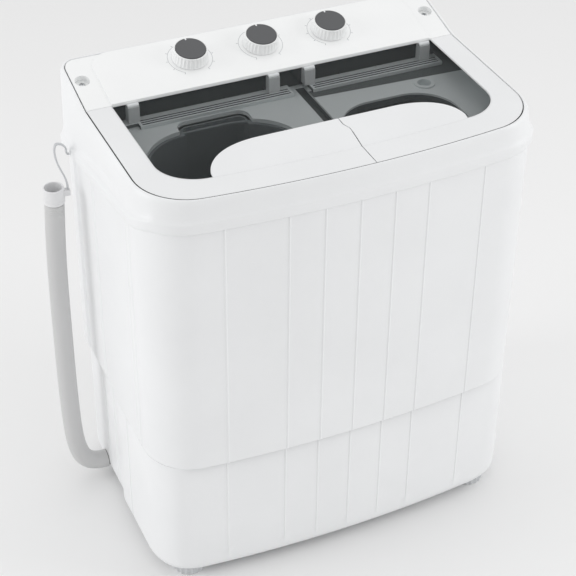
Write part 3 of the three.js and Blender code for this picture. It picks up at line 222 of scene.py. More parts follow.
def moulded(name, rgb, rough=0.4, grain=900.0, bump=0.05, edge_lift=0.06, spec=0.5):
    """Moulded plastic: fine pebble in the surface, uneven gloss, a lighter colour on sharp convex edges."""
    m = Nodes(name)
    place = m.add("ShaderNodeTexCoord")
    cloud = m.add("ShaderNodeTexNoise", Scale=7.0, Detail=4.0, Roughness=0.55)
    pebble = m.add("ShaderNodeTexNoise", Scale=grain, Detail=2.0, Roughness=0.5)
    m.link(place.outputs["Object"], cloud.inputs["Vector"])
    m.link(place.outputs["Object"], pebble.inputs["Vector"])
    tone = m.ramp(cloud.outputs["Fac"], [(0.3, shade(rgb, 0.975)), (0.72, shade(rgb, 1.012))])
    edge = m.add("ShaderNodeNewGeometry")
    # Sharp convex edges are mixed towards a lighter colour by their pointiness.
    edge_lighter = m.ramp(edge.outputs["Pointiness"], [(0.5, (0, 0, 0, 1)), (0.62, (edge_lift, edge_lift, edge_lift, 1))])
    mix = m.add("ShaderNodeMixRGB", blend_type="MIX")
    m.link(edge_lighter, mix.inputs["Fac"])
    m.link(tone, mix.inputs["Color1"])
    mix.inputs["Color2"].default_value = shade(rgb, 1.12)
    m.link(mix.outputs["Color"], m.bsdf.inputs["Base Color"])
    low, high = rough * 0.86, min(1, rough * 1.16)
    gloss = m.ramp(cloud.outputs["Fac"], [(0.25, (low, low, low, 1)), (0.8, (high, high, high, 1))])
    m.link(gloss, m.bsdf.inputs["Roughness"])
    m.bsdf.inputs["Specular IOR Level"].default_value = spec
    relief = m.add("ShaderNodeBump", Strength=bump, Distance=0.0004)
    m.link(pebble.outputs["Fac"], relief.inputs["Height"])
    m.link(relief.outputs["Normal"], m.bsdf.inputs["Normal"])
    return m.material


def metal(name, rgb, rough=0.3, stretch=(40, 40, 900)):
    """Turned or drawn metal with fine marks along one direction and a little tarnish."""
    m = Nodes(name)
    place = m.add("ShaderNodeTexCoord")
    scale = m.add("ShaderNodeMapping")
    scale.inputs["Scale"].default_value = stretch
    marks = m.add("ShaderNodeTexNoise", Scale=1.0, Detail=5.0, Roughness=0.6)
    cloud = m.add("ShaderNodeTexNoise", Scale=30.0, Detail=3.0)
    m.link(place.outputs["Object"], scale.inputs["Vector"])
    m.link(scale.outputs["Vector"], marks.inputs["Vector"])
    m.link(place.outputs["Object"], cloud.inputs["Vector"])
    tone = m.ramp(cloud.outputs["Fac"], [(0.3, shade(rgb, 0.85)), (0.75, shade(rgb, 1.1))])
    m.link(tone, m.bsdf.inputs["Base Color"])
    low, high = rough * 0.7, min(1, rough * 1.5)
    gloss = m.ramp(marks.outputs["Fac"], [(0.2, (low, low, low, 1)), (0.8, (high, high, high, 1))])
    m.link(gloss, m.bsdf.inputs["Roughness"])
    m.bsdf.inputs["Metallic"].default_value = 1.0
    relief = m.add("ShaderNodeBump", Strength=0.12, Distance=0.0002)
    m.link(marks.outputs["Fac"], relief.inputs["Height"])
    m.link(relief.outputs["Normal"], m.bsdf.inputs["Normal"])
    return m.material


def smoked():
    """Thin smoked pane: a dark tint that lets the deck show through, with a fine ripple."""
    m = Nodes("smoked_pane")
    place = m.add("ShaderNodeTexCoord")
    ripple = m.add("ShaderNodeTexNoise", Scale=18.0, Detail=2.0)
    m.link(place.outputs["Object"], ripple.inputs["Vector"])
    m.bsdf.inputs["Base Color"].default_value = (0.012, 0.018, 0.019, 1)
    m.bsdf.inputs["Alpha"].default_value = 0.2
    gloss = m.ramp(ripple.outputs["Fac"], [(0.3, (0.03, 0.03, 0.03, 1)), (0.8, (0.09, 0.09, 0.09, 1))])
    m.link(gloss, m.bsdf.inputs["Roughness"])
    relief = m.add("ShaderNodeBump", Strength=0.03, Distance=0.0004)
    m.link(ripple.outputs["Fac"], relief.inputs["Height"])
    m.link(relief.outputs["Normal"], m.bsdf.inputs["Normal"])
    return m.material


WHITE = moulded("white_shell", (243, 244, 245), rough=0.42, grain=1400, bump=0.04)
PANEL_WHITE = moulded("white_panel", (247, 248, 248), rough=0.36, grain=1600, bump=0.03)
LID_WHITE = moulded("lid_white", (238, 239, 240), rough=0.46, grain=1400, bump=0.05)
JOINT_SHADE = moulded("joint_shade", (74, 75, 76), rough=0.7, grain=900, edge_lift=0.02)
LIGHT_GREY = moulded("light_grey", (205, 207, 209), rough=0.45, grain=1100)
# Dark grey painted into the deck's recesses as shade.
DECK_PAINTED_SHADE = moulded("deck_painted_shade", (84, 89, 90), rough=0.5, grain=1200)
DECK_GREY = moulded("deck_grey", (216, 222, 223), rough=0.4, grain=1200)
TUB_GREY = moulded("tub_grey", (112, 118, 120), rough=0.38, grain=1200)
BASKET_GREY = moulded("basket_grey", (214, 217, 218), rough=0.35, grain=1200)
CAP_GREY = moulded("cap_grey", (84, 85, 87), rough=0.38, grain=1800, bump=0.06, edge_lift=0.1)
# Black moulding of the drain pipe and cable gland, also painted on the outer spin tub as shade.
BLACK_AND_PAINTED_SHADE = moulded("black_moulding", (38, 39, 40), rough=0.55, grain=900, bump=0.12)
RUBBER = moulded("rubber", (30, 30, 31), rough=0.8, grain=500, bump=0.25, spec=0.25)
COLLAR_WHITE = moulded("collar_white", (232, 232, 233), rough=0.4, grain=1100)
HOSE_GREY = moulded("hose_plastic", (205, 205, 205), rough=0.5, grain=700, bump=0.08)
MARK_GREY = moulded("mark_grey", (170, 173, 176), rough=0.6, grain=1200, edge_lift=0.02)
STEEL = metal("steel", (190, 192, 194), rough=0.28)
MOTOR_STEEL = moulded("motor_steel", (126, 130, 134), rough=0.42, grain=600, bump=0.15, edge_lift=0.25)
ALLOY = metal("alloy", (176, 179, 182), rough=0.36, stretch=(300, 300, 60))
SMOKED = smoked()


# ---------- mesh helpers ----------
def sharpen(mesh, angle=32):
    """Smooth faces, with edges sharper than the angle kept hard."""
    bm = bmesh.new()
    bm.from_mesh(mesh)
    bmesh.ops.remove_doubles(bm, verts=bm.verts, dist=1e-6)
    bmesh.ops.recalc_face_normals(bm, faces=bm.faces)
    limit = math.radians(angle)
    for face in bm.faces:
        face.smooth = True
    for edge in bm.edges:
        edge.smooth = not (edge.is_manifold and edge.calc_face_angle(0) > limit)
    bm.to_mesh(mesh)
    bm.free()


def make_object(name, verts, faces):
    mesh = bpy.data.meshes.new(name)
    mesh.from_pydata([Vector(v) * MM for v in verts], [], faces)
    bm = bmesh.new()
    bm.from_mesh(mesh)
    bmesh.ops.remove_doubles(bm, verts=bm.verts, dist=1e-7)
    bmesh.ops.recalc_face_normals(bm, faces=bm.faces)
    bm.to_mesh(mesh)
    bm.free()
    obj = bpy.data.objects.new(name, mesh)
    bpy.context.scene.collection.objects.link(obj)
    return obj


def bevelled(obj, width, angle=40, segments=2):
    """Rounds the hard edges and keeps the flats flat."""
    mod = obj.modifiers.new("edge", "BEVEL")
    mod.width = width * MM
    mod.segments = segments
    mod.limit_method = "ANGLE"
    mod.angle_limit = math.radians(angle)
    mod.harden_normals = True
    return obj


def shade_faces(obj, material, chosen):
    """A second material on the faces whose centre and normal, in millimetres, are chosen."""
    obj.data.materials.append(material)
    index = len(obj.data.materials) - 1
    for face in obj.data.polygons:
        if chosen(face.center / MM, face.normal):
            face.material_index = index


def finish_piece(obj, material, body, slot, *nodes, angle=32, bevel=0):
    """Material, shading, body and the CAD nodes it stands for; slot is not used."""
    obj.data.materials.clear()
    obj.data.materials.append(material)
    sharpen(obj.data, angle)
    if bevel:
        bevelled(obj, bevel)
    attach(obj, body)
    if nodes:
        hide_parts(*nodes)
    return obj


def loft(rings, closed=False):
    """Vertices and faces through equal rings. A closed stack joins its last ring to its first."""
    n = len(rings[0])
    verts = [p for ring in rings for p in ring]
    faces = []
    spans = len(rings) if closed else len(rings) - 1
    for i in range(spans):
        a, b = i * n, ((i + 1) % len(rings)) * n
        for j in range(n):
            k = (j + 1) % n
            faces.append((a + j, a + k, b + k, b + j))
    if not closed:
        faces.append(tuple(reversed(range(n))))
        faces.append(tuple(range((len(rings) - 1) * n, len(rings) * n)))
    return verts, faces


def ring_at(points, z):
    return [(x, y, z(x, y) if callable(z) else z) for x, y in points]


def full_turn(n):
    """The angles of n even steps round a circle."""
    return [2 * math.pi * i / n for i in range(n)]


def circle(x, y, r, n=64):
    return [(x + r * math.cos(a), y + r * math.sin(a)) for a in full_turn(n)]


def rounded_rect(cx, cy, w, d, r, steps=12):
    points = []
    for sx, sy, start in ((1, -1, -90), (1, 1, 0), (-1, 1, 90), (-1, -1, 180)):
        for i in range(steps + 1):
            a = math.radians(start + 90 * i / steps)
            points.append((cx + sx * (w / 2 - r) + r * math.cos(a), cy + sy * (d / 2 - r) + r * math.sin(a)))
    return points


def prism(points, z0, z1):
    return make_object("tool", *loft([ring_at(points, z0), ring_at(points, z1)]))


def block(x0, x1, y0, y1, z0, z1):
    return prism([(x0, y0), (x1, y0), (x1, y1), (x0, y1)], z0, z1)


def post(x, y, r, z0, z1, n=48):
    return prism(circle(x, y, r, n), z0, z1)


def bar_x(x0, x1, y, z, r, n=32):
    """A round bar along X."""
    rings = [[(x, u, v) for u, v in circle(y, z, r, n)] for x in (x0, x1)]
    return make_object("tool", *loft(rings))


def turned(profile, x, y, n=96):
    """A closed profile of (radius, height) pairs turned about an upright axis."""
    rings = []
    for r, z in profile:
        rings.append([(px, py, z) for px, py in circle(x, y, max(r, 0.01), n)])
    closed = profile[0] == profile[-1]
    if closed:
        rings.pop()
    return make_object("tool", *loft(rings, closed))


def fuse(base, *tools, how="UNION"):
    """Joins or cuts the tools with the base and removes them."""
    for tool in tools:
        mod = base.modifiers.new("b", "BOOLEAN")
        mod.operation = how
        mod.solver = "MANIFOLD"
        mod.object = tool
    evaluated = base.evaluated_get(bpy.context.evaluated_depsgraph_get())
    mesh = bpy.data.meshes.new_from_object(evaluated)
    base.modifiers.clear()
    old = base.data
    base.data = mesh
    bpy.data.meshes.remove(old)
    for tool in tools:
        data = tool.data
        bpy.data.objects.remove(tool)
        bpy.data.meshes.remove(data)
    return base


def carve(base, *tools):
    return fuse(base, *tools, how="DIFFERENCE")


def place(obj, matrix):
    """Moves a piece's own vertices; matrix in millimetres."""
    metres = matrix.copy()
    metres.translation = matrix.translation * MM
    obj.data.transform(metres)
    return obj


def on_panel(x):
    """From the control panel's own frame, z out of it, to the machine."""
    at = Vector((x, KNOBS["wash_selector"].y, panel_z(KNOBS["wash_selector"].y)))
    return Matrix.Translation(at) @ Matrix.Rotation(TILT, 4, "X")


def panel_z(y):
    return LID_TOP + max(0, y - 84.7) * math.tan(TILT)


def smoothstep(a, b, x):
    t = max(0.0, min(1.0, (x - a) / (b - a)))
    return t * t * (3 - 2 * t)


def lerp(a, b, t):
    return a + (b - a) * t


# ---------- the machine's plan ----------
def body_path(half, front, back, r_front, r_rear, grooves=(), pleats=PLEATS):
    """Counter-clockwise stations (x, y, nx, ny, zone) round the bowed plan."""
    slope = math.atan((2 * BOW) / (half - r_front))
    reach = half - r_front + r_front * math.sin(slope)
    centre_y = front + BOW + r_front * math.cos(slope)
    xs = {round(-reach + 2 * reach * i / 40, 3) for i in range(41)}
    for p in pleats:
        xs = {x for x in xs if abs(x - p) > PLEAT_W}
        xs |= {round(p + PLEAT_W * k / 4, 3) for k in range(-4, 5)}
    path = []
    for x in sorted(xs):
        tangent = Vector((1, 2 * BOW * x / reach**2)).normalized()
        path.append((x, front + BOW * (x / reach) ** 2, tangent.y, -tangent.x, "front"))
    right = []

    def arc(cx, cy, r, start, end, steps, zone):
        for i in range(steps + 1):
            a = lerp(start, end, i / steps)
            right.append((cx + r * math.cos(a), cy + r * math.sin(a), math.cos(a), math.sin(a), zone))

    arc(half - r_front, centre_y, r_front, slope - math.pi / 2, 0, 16, "corner")
    right.pop(0)
    top_y = back - r_rear
    count = 34
    ys = {round(centre_y + (top_y - centre_y) * i / count, 3) for i in range(1, count)}
    for y, w, _ in grooves:
        ys = {v for v in ys if abs(v - y) > w * 1.3}
        ys |= {round(y + w * 1.3 * k / 5, 3) for k in range(-5, 6)}
    right += [(half, y, 1.0, 0.0, "side") for y in sorted(ys)]
    arc(half - r_rear, top_y, r_rear, 0, math.pi / 2, 10, "rear")
    back_x = half - r_rear
    rear = [(back_x - 2 * back_x * i / 12, back, 0.0, 1.0, "rear") for i in range(1, 12)]
    left = [(-x, y, -nx, ny, zone) for x, y, nx, ny, zone in reversed(right)]
    return path + right + rear + left


def pleat_at(x):
    """Height of the upright pleats on the front, 0 to 1."""
    d = min(abs(x - p) for p in PLEATS)
    return math.cos(math.pi / 2 * min(1, d / PLEAT_W))


def groove_at(y, grooves):
    deep = 0.0
    for at, w, depth in grooves:
        d = abs(y - at) / (w * 1.3)
        if d < 1:
            deep = max(deep, depth * math.cos(math.pi / 2 * d) ** 1.3)
    return deep


def pilaster(y, zone, nx):
    """1 where the wall runs flush from the housing down over the base."""
    if zone == "corner":
        return smoothstep(0.2, 0.72, abs(nx))
    return 1 - smoothstep(6, 18, y) if zone == "side" else 0


def shell_ring(path, z, inset=0, pleat=0.0, groove=0.0, grooves=()):
    """One ring: the path moved in by inset, with its pleats out and its grooves in."""
    ring = []
    for x, y, nx, ny, zone in path:
        out = -(inset(y, zone, nx) if callable(inset) else inset)
        if zone == "front":
            out += pleat * PLEAT_H * pleat_at(x)
        if zone == "side":
            out -= groove * groove_at(y, grooves)
        px, py = x + nx * out, y + ny * out
        ring.append((px, py, z(x, y) if callable(z) else z))
    return ring


SIDE_GROOVES = ((-100, 2, 1.2), (-88, 2, 1.2), (50, 4.5, 3.6), (126, 6, 6))
BASE_GROOVES = ((-36, 2.4, 2.6), (44, 3, 3), (85, 3, 3))


def ridge_drop(y):
    return 0 if y < -150 else RIDGE_DROP * ((y + 150) / 300) ** 0.75


def make_housing():
    path = body_path(BODY_HALF, BODY_FRONT, BODY_BACK, 73.5, 44, SIDE_GROOVES)

    def curl(y, zone, nx):
        """How far the bottom edge turns in: behind the flush part of the sides and at the back."""
        return 5.2 * (1 - pilaster(y, zone, nx)) if zone in ("side", "rear") else 0

    def bent(share, extra=0.0):
        return lambda y, zone, nx: curl(y, zone, nx) * share + extra

    def ring(z, inset, pleat=1.0, groove=1.0):
        return shell_ring(path, z, inset, pleat, groove, SIDE_GROOVES)

    def top(lower):
        return lambda x, y: BELT_BOTTOM + 8 - ridge_drop(y) - lower

    b = BODY_BOTTOM
    rings = [
        ring(b, bent(1, 1.0)),
        ring(b + 0.25, bent(1, 0.35)),
        ring(b + 0.9, bent(0.99, 0.05)),
        ring(b + 2.5, bent(0.9)),
        ring(b + 5.5, bent(0.66)),
        ring(b + 9.5, bent(0.38)),
        ring(b + 14, bent(0.14)),
        ring(b + 20, 0),
        ring(b + 90, 0),
        ring(b + 180, 0),
        ring(b + 270, 0),
        ring(top(12), 0),
        ring(top(0), 0),
        shell_ring(path, top(0), WALL, 0, 1, SIDE_GROOVES),
        shell_ring(path, top(12), WALL, 0, 1, SIDE_GROOVES),
        shell_ring(path, b + 24, WALL, 0, 1, SIDE_GROOVES),
        shell_ring(path, b + 8, bent(0.5, WALL), 0, 1, SIDE_GROOVES),
        shell_ring(path, b, bent(1, WALL), 0, 1, SIDE_GROOVES),
    ]
    piece = make_object("housing_shell", *loft(rings, closed=True))
    finish_piece(piece, WHITE, "cabinet", "white_shell", "housing", angle=38)


def make_base():
    path = body_path(BASE_HALF, BASE_FRONT, BASE_BACK, 66, 44, BASE_GROOVES)
    flush = BODY_HALF - BASE_HALF

    def swell(share, inset=0.0):
        """The base stands out to the housing's face along the pilaster."""
        return lambda y, zone, nx: inset - flush * share * pilaster(y, zone, nx)

    def ring(z, inset, pleat=1.0, groove=1.0):
        return shell_ring(path, z, inset, pleat, groove, BASE_GROOVES)

    top = BODY_BOTTOM - GAP
    rings = [
        ring(FOOT_H, swell(0, 12), 0, 0.2),
        ring(FOOT_H + 0.6, swell(0, 10.4), 0, 0.3),
        ring(FOOT_H + 2, swell(0.1, 7.6), 0, 0.5),
        ring(FOOT_H + 5, swell(0.4, 4.4), 0, 0.7),
        ring(FOOT_H + 9, swell(0.7, 2.1), 0, 0.9),
        ring(FOOT_H + 15, swell(0.92, 0.6), 0),
        ring(FOOT_H + 22, swell(1), 0.35),
        ring(FOOT_H + 30, swell(1), 0.85),
        ring(FOOT_H + 40, swell(1)),
        ring(FOOT_H + 90, swell(1)),
        ring(FOOT_H + 150, swell(1)),
        ring(top - 0.8, swell(1)),
        ring(top, swell(1, 0.6)),
        shell_ring(path, top, 6.4),
        shell_ring(path, LIP_TOP, 6.6),
        shell_ring(path, LIP_TOP, 9),
        shell_ring(path, top - 6, 9),
        shell_ring(path, top - 10, 5.4),
        shell_ring(path, FOOT_H + 18, 5.4),
        shell_ring(path, FOOT_H + 4, 14),
        shell_ring(path, FOOT_H, 14),
    ]
    base = make_object("base_shell", *loft(rings, closed=True))
    port = mm_box("drain_pipe")[0]
    hose_y, hose_z = HOSE_Y, HOSE_ROUTE[0][1]
    hole = bar_x(port.x - 20, port.x + 20, hose_y, hose_z, 13.4)
    carve(base, hole, block(-160, 160, BASE_BACK - 20, BASE_BACK + 20, 50, 214))
    finish_piece(base, WHITE, "cabinet", "white_shell", "base_skirt", angle=38)


def make_top_frame():
    rim = body_path(RIM_HALF, RIM_FRONT, RIM_BACK, CORNER_R, 26, pleats=())
    gap = body_path(LID_GAP_HALF, LID_GAP_FRONT, LID_GAP_BACK, CORNER_R, 17, pleats=())

    def scoop(y):
        return math.sin(math.pi * (y + 95) / 195) if -95 < y < 100 else 0

    def ring(half, z, scooped=0.0):
        t = (half - LID_GAP_HALF) / (RIM_HALF - LID_GAP_HALF)
        points = []
        for (ax, ay, *_), (bx, by, *_) in zip(gap, rim):
            x, y = lerp(ax, bx, t), lerp(ay, by, t)
            x -= math.copysign(scooped * scoop(y), x) if abs(x) > 1 else 0
            points.append((x, y, z(y)))
        return points

    def belt(lift, bulge=0.0):
        return lambda y: BELT_BOTTOM + lift - ridge_drop(y) + bulge * scoop(y)

    def top(below):
        return lambda y: panel_z(y) - below

    profile = [
        (292.6, belt(0), 0),
        (293.6, belt(0.5), 0),
        (294.3, belt(2), 0),
        (294.7, belt(6), 0),
        (294.8, belt(11), 0),
        (295.0, belt(13.6), 0),
        (294.9, belt(15.2), 0.1),
        (294.2, belt(16.8), 0.5),
        (293.2, belt(18), 1.2),
        (292.2, belt(19.6), 2.4),
        (291.2, belt(22, 2.5), 4.2),
        (290.4, belt(24.5, 5), 5),
        (289.2, belt(29, 4), 3.4),
        (287.6, top(9), 0),
        (286.6, top(5.2), 0),
        (285.6, top(2.6), 0),
        (284.6, top(0.9), 0),
        (283.6, top(0), 0),
        (282.8, top(-0.2), 0),
        (282.2, top(-0.05), 0),
        (281.7, top(0.5), 0),
        (281.3, top(1.8), 0),
        (281.0, top(6), 0),
        (281.0, lambda y: DECK_Z, 0),
        (287.2, belt(24), 4.4),
        (290.9, belt(10), 0),
        (290.9, belt(0), 0),
    ]
    rings = [ring(*row) for row in profile]
    piece = make_object("top_frame_shell", *loft(rings, closed=True))
    finish_piece(piece, WHITE, "cabinet", "white_shell", "top_frame", angle=42)


# ---------- control panel ----------
def panel_plan(half, front, back, r, steps=12):
    points = [(-half, front), (half, front)]
    for sx, start in ((1, 0), (-1, 90)):
        for i in range(steps + 1):
            a = math.radians(start + 90 * i / steps)
            points.append((sx * (half - r) + r * math.cos(a), back - r + r * math.sin(a)))
    return points


def panel_slab(half, front, back, r, levels):
    """A plate that follows the panel's slope; levels are (height over it, inset)."""
    rings = []
    for w, inset in levels:
        plan = panel_plan(half - inset, front + inset, back - inset, r - inset)
        rings.append([(x, y, panel_z(y) + w) for x, y in plan])
    return make_object("tool", *loft(rings))


def make_panel():
    plate_edge = [(-3, 0), (-1.2, 0), (-0.5, 0.2), (-0.1, 0.6), (0, 1.2)]
    face_edge = [(-1, 0), (1.0, 0), (1.5, 0.2), (1.74, 0.6), (FACE_RISE, 1.2)]
    plate = panel_slab(280, PANEL_FRONT, PANEL_BACK, 16, plate_edge)
    face = panel_slab(244, PANEL_FRONT + 0.2, PANEL_BACK - 0.4, 28, face_edge)
    wells, bores = [], []
    for side in (-1, 1):
        for kit, r, low, high in ((wells, 13, -14, -1), (bores, 10.6, -9, 3)):
            tool = post(0, 0, r, low, high)
            at = Vector((side * SCREW_AT[0], SCREW_AT[1], panel_z(SCREW_AT[1])))
            kit.append(place(tool, Matrix.Translation(at) @ Matrix.Rotation(TILT, 4, "X")))
    piece = carve(fuse(plate, face, *wells), *bores)
    piece.name = "control_panel_shell"
    finish_piece(piece, PANEL_WHITE, "cabinet", "white_panel", "control_panel", angle=30)


def arc_strip(r, width, start, end, z, thick, steps):
    """A flat curved strip on the panel's face."""
    rings = []
    for i in range(steps + 1):
        a = math.radians(lerp(start, end, i / steps))
        c, s = math.cos(a), math.sin(a)
        ring = []
        for rr, zz in ((r, z), (r + width, z), (r + width, z + thick), (r, z + thick)):
            ring.append((rr * c, rr * s, zz))
        rings.append(ring)
    return loft(rings)


def make_marks():
    """Printed scales round the knobs: a ring line and plain ticks, as a thin raised film."""
    verts, faces = [], []

    def take(part, matrix):
        start = len(verts)
        verts.extend(matrix @ Vector(v) for v in part[0])
        faces.extend(tuple(i + start for i in f) for f in part[1])

    thick = 0.05
    for name, at in KNOBS.items():
        matrix = on_panel(at.x)
        take(arc_strip(31.6, 0.45, -58, 238, FACE_RISE + 0.02, thick, 72), matrix)
        ticks = 5 if name == "wash_selector" else 11
        for i in range(ticks):
            a = lerp(-58, 238, i / (ticks - 1))
            take(arc_strip(32.6, 2.6, a - 0.6, a + 0.6, FACE_RISE + 0.02, thick, 2), matrix)
    piece = make_object("dial_marks", verts, faces)
    finish_piece(piece, MARK_GREY, "cabinet", "light_grey")


def make_knob(name, x):
    flutes, per = 30, 8
    n = flutes * per

    def fluted(r, depth, z):
        ring = []
        for i in range(n):
            a = 2 * math.pi * i / n
            dip = (0.5 - 0.5 * math.cos(flutes * a)) ** 0.8
            rr = r - depth * dip
            ring.append((rr * math.cos(a), rr * math.sin(a), z))
        return ring

    b, t = KNOB_BASE, KNOB_BASE + KNOB_H
    rows = [
        (20.2, 0, t - 4), (22.4, 0, b), (25.7, 0, b), (26, 0.1, b + 0.3), (25.95, 0.5, b + 1.2),
        (25.8, 0.95, b + 2.2), (25.1, 1.0, t - 6), (24.5, 1.0, t - 2.6), (24.2, 0.7, t - 1.6),
        (23.9, 0.25, t - 0.8), (23.5, 0, t - 0.25), (23.0, 0, t), (22.4, 0, t),
        (22.1, 0, t - 0.25), (22.1, 0, t - 1.2),
    ]
    knob = make_object(f"{name}_dial", *loft([fluted(*row) for row in rows]))
    place(knob, on_panel(x))
    fuse(knob, place(block(-1.1, 1.1, 18.4, 22.2, t - 1.6, t + 0.55), on_panel(x)))
    stands_for = (f"{name}_knob", f"{name}_spindle")
    finish_piece(knob, PANEL_WHITE, f"{name}_dial", "white_panel", *stands_for, angle=36)

    z = t - 1.2 + GAP
    rows = [
        (21.2, z), (21.6, z + 0.25), (21.6, z + 1.2), (21.35, z + 1.6),
        (20.9, z + 1.8), (20.2, z + 1.85), (14, z + 1.7), (5, z + 1.62),
    ]
    cap = make_object(f"{name}_cap_disc", *loft([ring_at(circle(0, 0, r, 96), h) for r, h in rows]))
    carve(cap, block(-1.5, 1.5, 18.0, 23, z - 1, z + 4))
    place(cap, on_panel(x))
    finish_piece(cap, CAP_GREY, f"{name}_dial", "cap_grey", f"{name}_cap", angle=36)


# ---------- lids ----------
def fold_at(x):
    return WINDOW_FRONT + 8 * (x / ARCH_END) ** 2


def arch_rear_at(x):
    over = max(0, abs(x) - ARCH_FLAT) / (ARCH_END + 1 - ARCH_FLAT)
    return lerp(ARCH_REAR, fold_at(ARCH_END) - 1, 1 - math.sqrt(max(0, 1 - min(1, over) ** 2)))


def lid_outline_front(x):
    """The lid's front edge and the inward normal at x."""
    r = CORNER_R - 1
    slope = math.atan((2 * BOW) / (LID_HALF - r))
    reach = LID_HALF - r + r * math.sin(slope)
    return LID_FRONT + BOW * (x / reach) ** 2, reach, slope


def lid_stations(split):
    """Pairs (outer, inner, x on the front or None) from the rear along the side to the split.

    The left lid is walked; the right one is its mirror image with its own split.
    """
    _, reach, slope = lid_outline_front(0)
    r = CORNER_R - 1
    centre = Vector((-LID_HALF + r, LID_FRONT + BOW + r * math.cos(slope)))
    stations = []
    for i in range(22):
        t = i / 22
        outer = Vector((-LID_HALF, lerp(LID_REAR, centre.y, t)))
        inner = Vector((-WINDOW_HALF, lerp(LID_REAR, -78, t)))
        stations.append((outer, inner, None))
    for i in range(21):
        t = i / 20
        a = math.pi + t * (math.pi / 2 - slope)
        outer = centre + r * Vector((math.cos(a), math.sin(a)))
        b = math.pi / 2 * t
        inner_x = -(ARCH_END + (WINDOW_HALF - ARCH_END) * math.cos(b))
        inner = Vector((inner_x, lerp(-78, fold_at(ARCH_END), math.sin(b))))
        stations.append((outer, inner, None))
    xs = [-ARCH_FLAT - (ARCH_END - ARCH_FLAT) * math.cos(math.pi / 2 * i / 16) for i in range(17)]
    rest = 26
    xs += [lerp(-ARCH_FLAT, split, i / rest) for i in range(1, rest + 1)]
    start = -reach
    for i, x in enumerate(xs):
        blend = min(1, i / 14)
        ox = lerp(start, -ARCH_FLAT, i / 16) if i <= 16 else x
        outer = Vector((lerp(ox, x, smoothstep(0, 1, blend)), 0))
        outer.y = lid_outline_front(outer.x)[0]
        stations.append((outer, Vector((x, fold_at(x))), x))
    return stations


def jog(y):
    """Sideways step of the joint between the lids: right at the front, left at the grip."""
    return lerp(3, -2.4, smoothstep(-108, -94, y))


def make_lid_frame(name, body, mirror, split):
    """Border, skirt and swollen grip as one closed cross section swept along the edge."""
    rows = 12
    sections = []
    for outer, inner, x in lid_stations(split):
        across = (inner - outer).normalized()
        if x is None:
            lip = inner + across * 0.8
            depth = 0.8
            forward = across
        else:
            forward = Vector((0, 1))
            depth = max(arch_rear_at(x) - inner.y, 0.8)
            lip = inner + forward * depth

        def flat(base, direction, d, z):
            p = base + direction * d
            return (p.x, p.y, z)

        top = []
        for j in range(rows + 1):
            d = depth * j / rows
            share = min(1, d / (ARCH_REAR - WINDOW_FRONT))
            swell = ARCH_RISE * math.sin(math.pi / 2 * share) if x is not None else 0
            top.append((d, LID_TOP + swell))
        lip_z = top[-1][1]
        section = [
            flat(outer, across, 2.4, LID_SKIRT_Z),
            flat(outer, across, 0, LID_SKIRT_Z),
            flat(outer, across, 0, LID_TOP - 0.7),
            flat(outer, across, 0.1, LID_TOP - 0.35),
            flat(outer, across, 0.3, LID_TOP - 0.1),
            flat(outer, across, 0.7, LID_TOP),
            flat(inner, across, -3.0, LID_TOP),
            flat(inner, across, -0.9, LID_TOP - 0.05),
            flat(inner, across, -0.1, LID_TOP - 0.55),
        ]
        for j, (d, z) in enumerate(top[:-1]):
            ease = 0.25 if j == 0 else 0
            section.append(flat(inner, forward, d + ease, z - ease))
        section += [
            flat(lip, forward, -0.35, lip_z),
            flat(lip, forward, -0.05, lip_z - 0.25),
            flat(lip, forward, 0, lip_z - 0.7),
            flat(lip, forward, 0, lip_z - LID_SKIN),
        ]
        under = [flat(inner, forward, d, z - LID_SKIN) for d, z in reversed(top[:-1])]
        section += under
        section += [flat(outer, across, 2.4, LID_TOP - LID_SKIN)]
        sign = -1 if mirror else 1
        near = max(0, 1 - abs(outer.x - split) / 8) if x is not None else 0
        sections.append([(sign * p[0] + near * jog(p[1]), p[1], p[2]) for p in section])
    piece = make_object(f"{name}_lid_border", *loft(sections))
    relief = block(-300, 300, HINGE.y, LID_REAR + 5, 600, LID_SKIRT_Z + 2.5)
    carve(piece, relief)
    finish_piece(piece, LID_WHITE, body, "white_shell", f"{name}_lid_frame", angle=34)
    # Painted shade: the lid skirts and the walls at the joint between the lids get a dark grey, standing in
    # for the shadow down in the gaps.
    shade_faces(piece, JOINT_SHADE, lambda c, n: c.z < LID_TOP - 0.6 and abs(n.z) < 0.5 and in_joint(c))


def in_joint(c):
    """True on the lids' outer skirts and on the two walls that face each other."""
    edge = lid_outline_front(c.x)[0] + 1.6
    at_split = SPLIT_LEFT - 3 < c.x < SPLIT_RIGHT + 4 and c.y < ARCH_REAR - 1
    return abs(c.x) > LID_HALF - 1 or c.y < edge or at_split or (abs(c.x) > 200 and c.y < -100)


def window_edge(grow, steps=40):
    """The window's outline from its left rear, round the front, to its right rear."""
    half = WINDOW_HALF + grow
    corner = []
    for i in range(17):
        a = math.pi / 2 * i / 16
        x = ARCH_END + (half - ARCH_END) * math.sin(a)
        corner.append((x, lerp(fold_at(ARCH_END) - grow, -78, 1 - math.cos(a))))
    front = [(x, fold_at(x) - grow) for x in [lerp(-ARCH_END, ARCH_END, i / steps) for i in range(1, steps)]]
    left = [(-x, y) for x, y in reversed(corner)]
    return left + front + corner


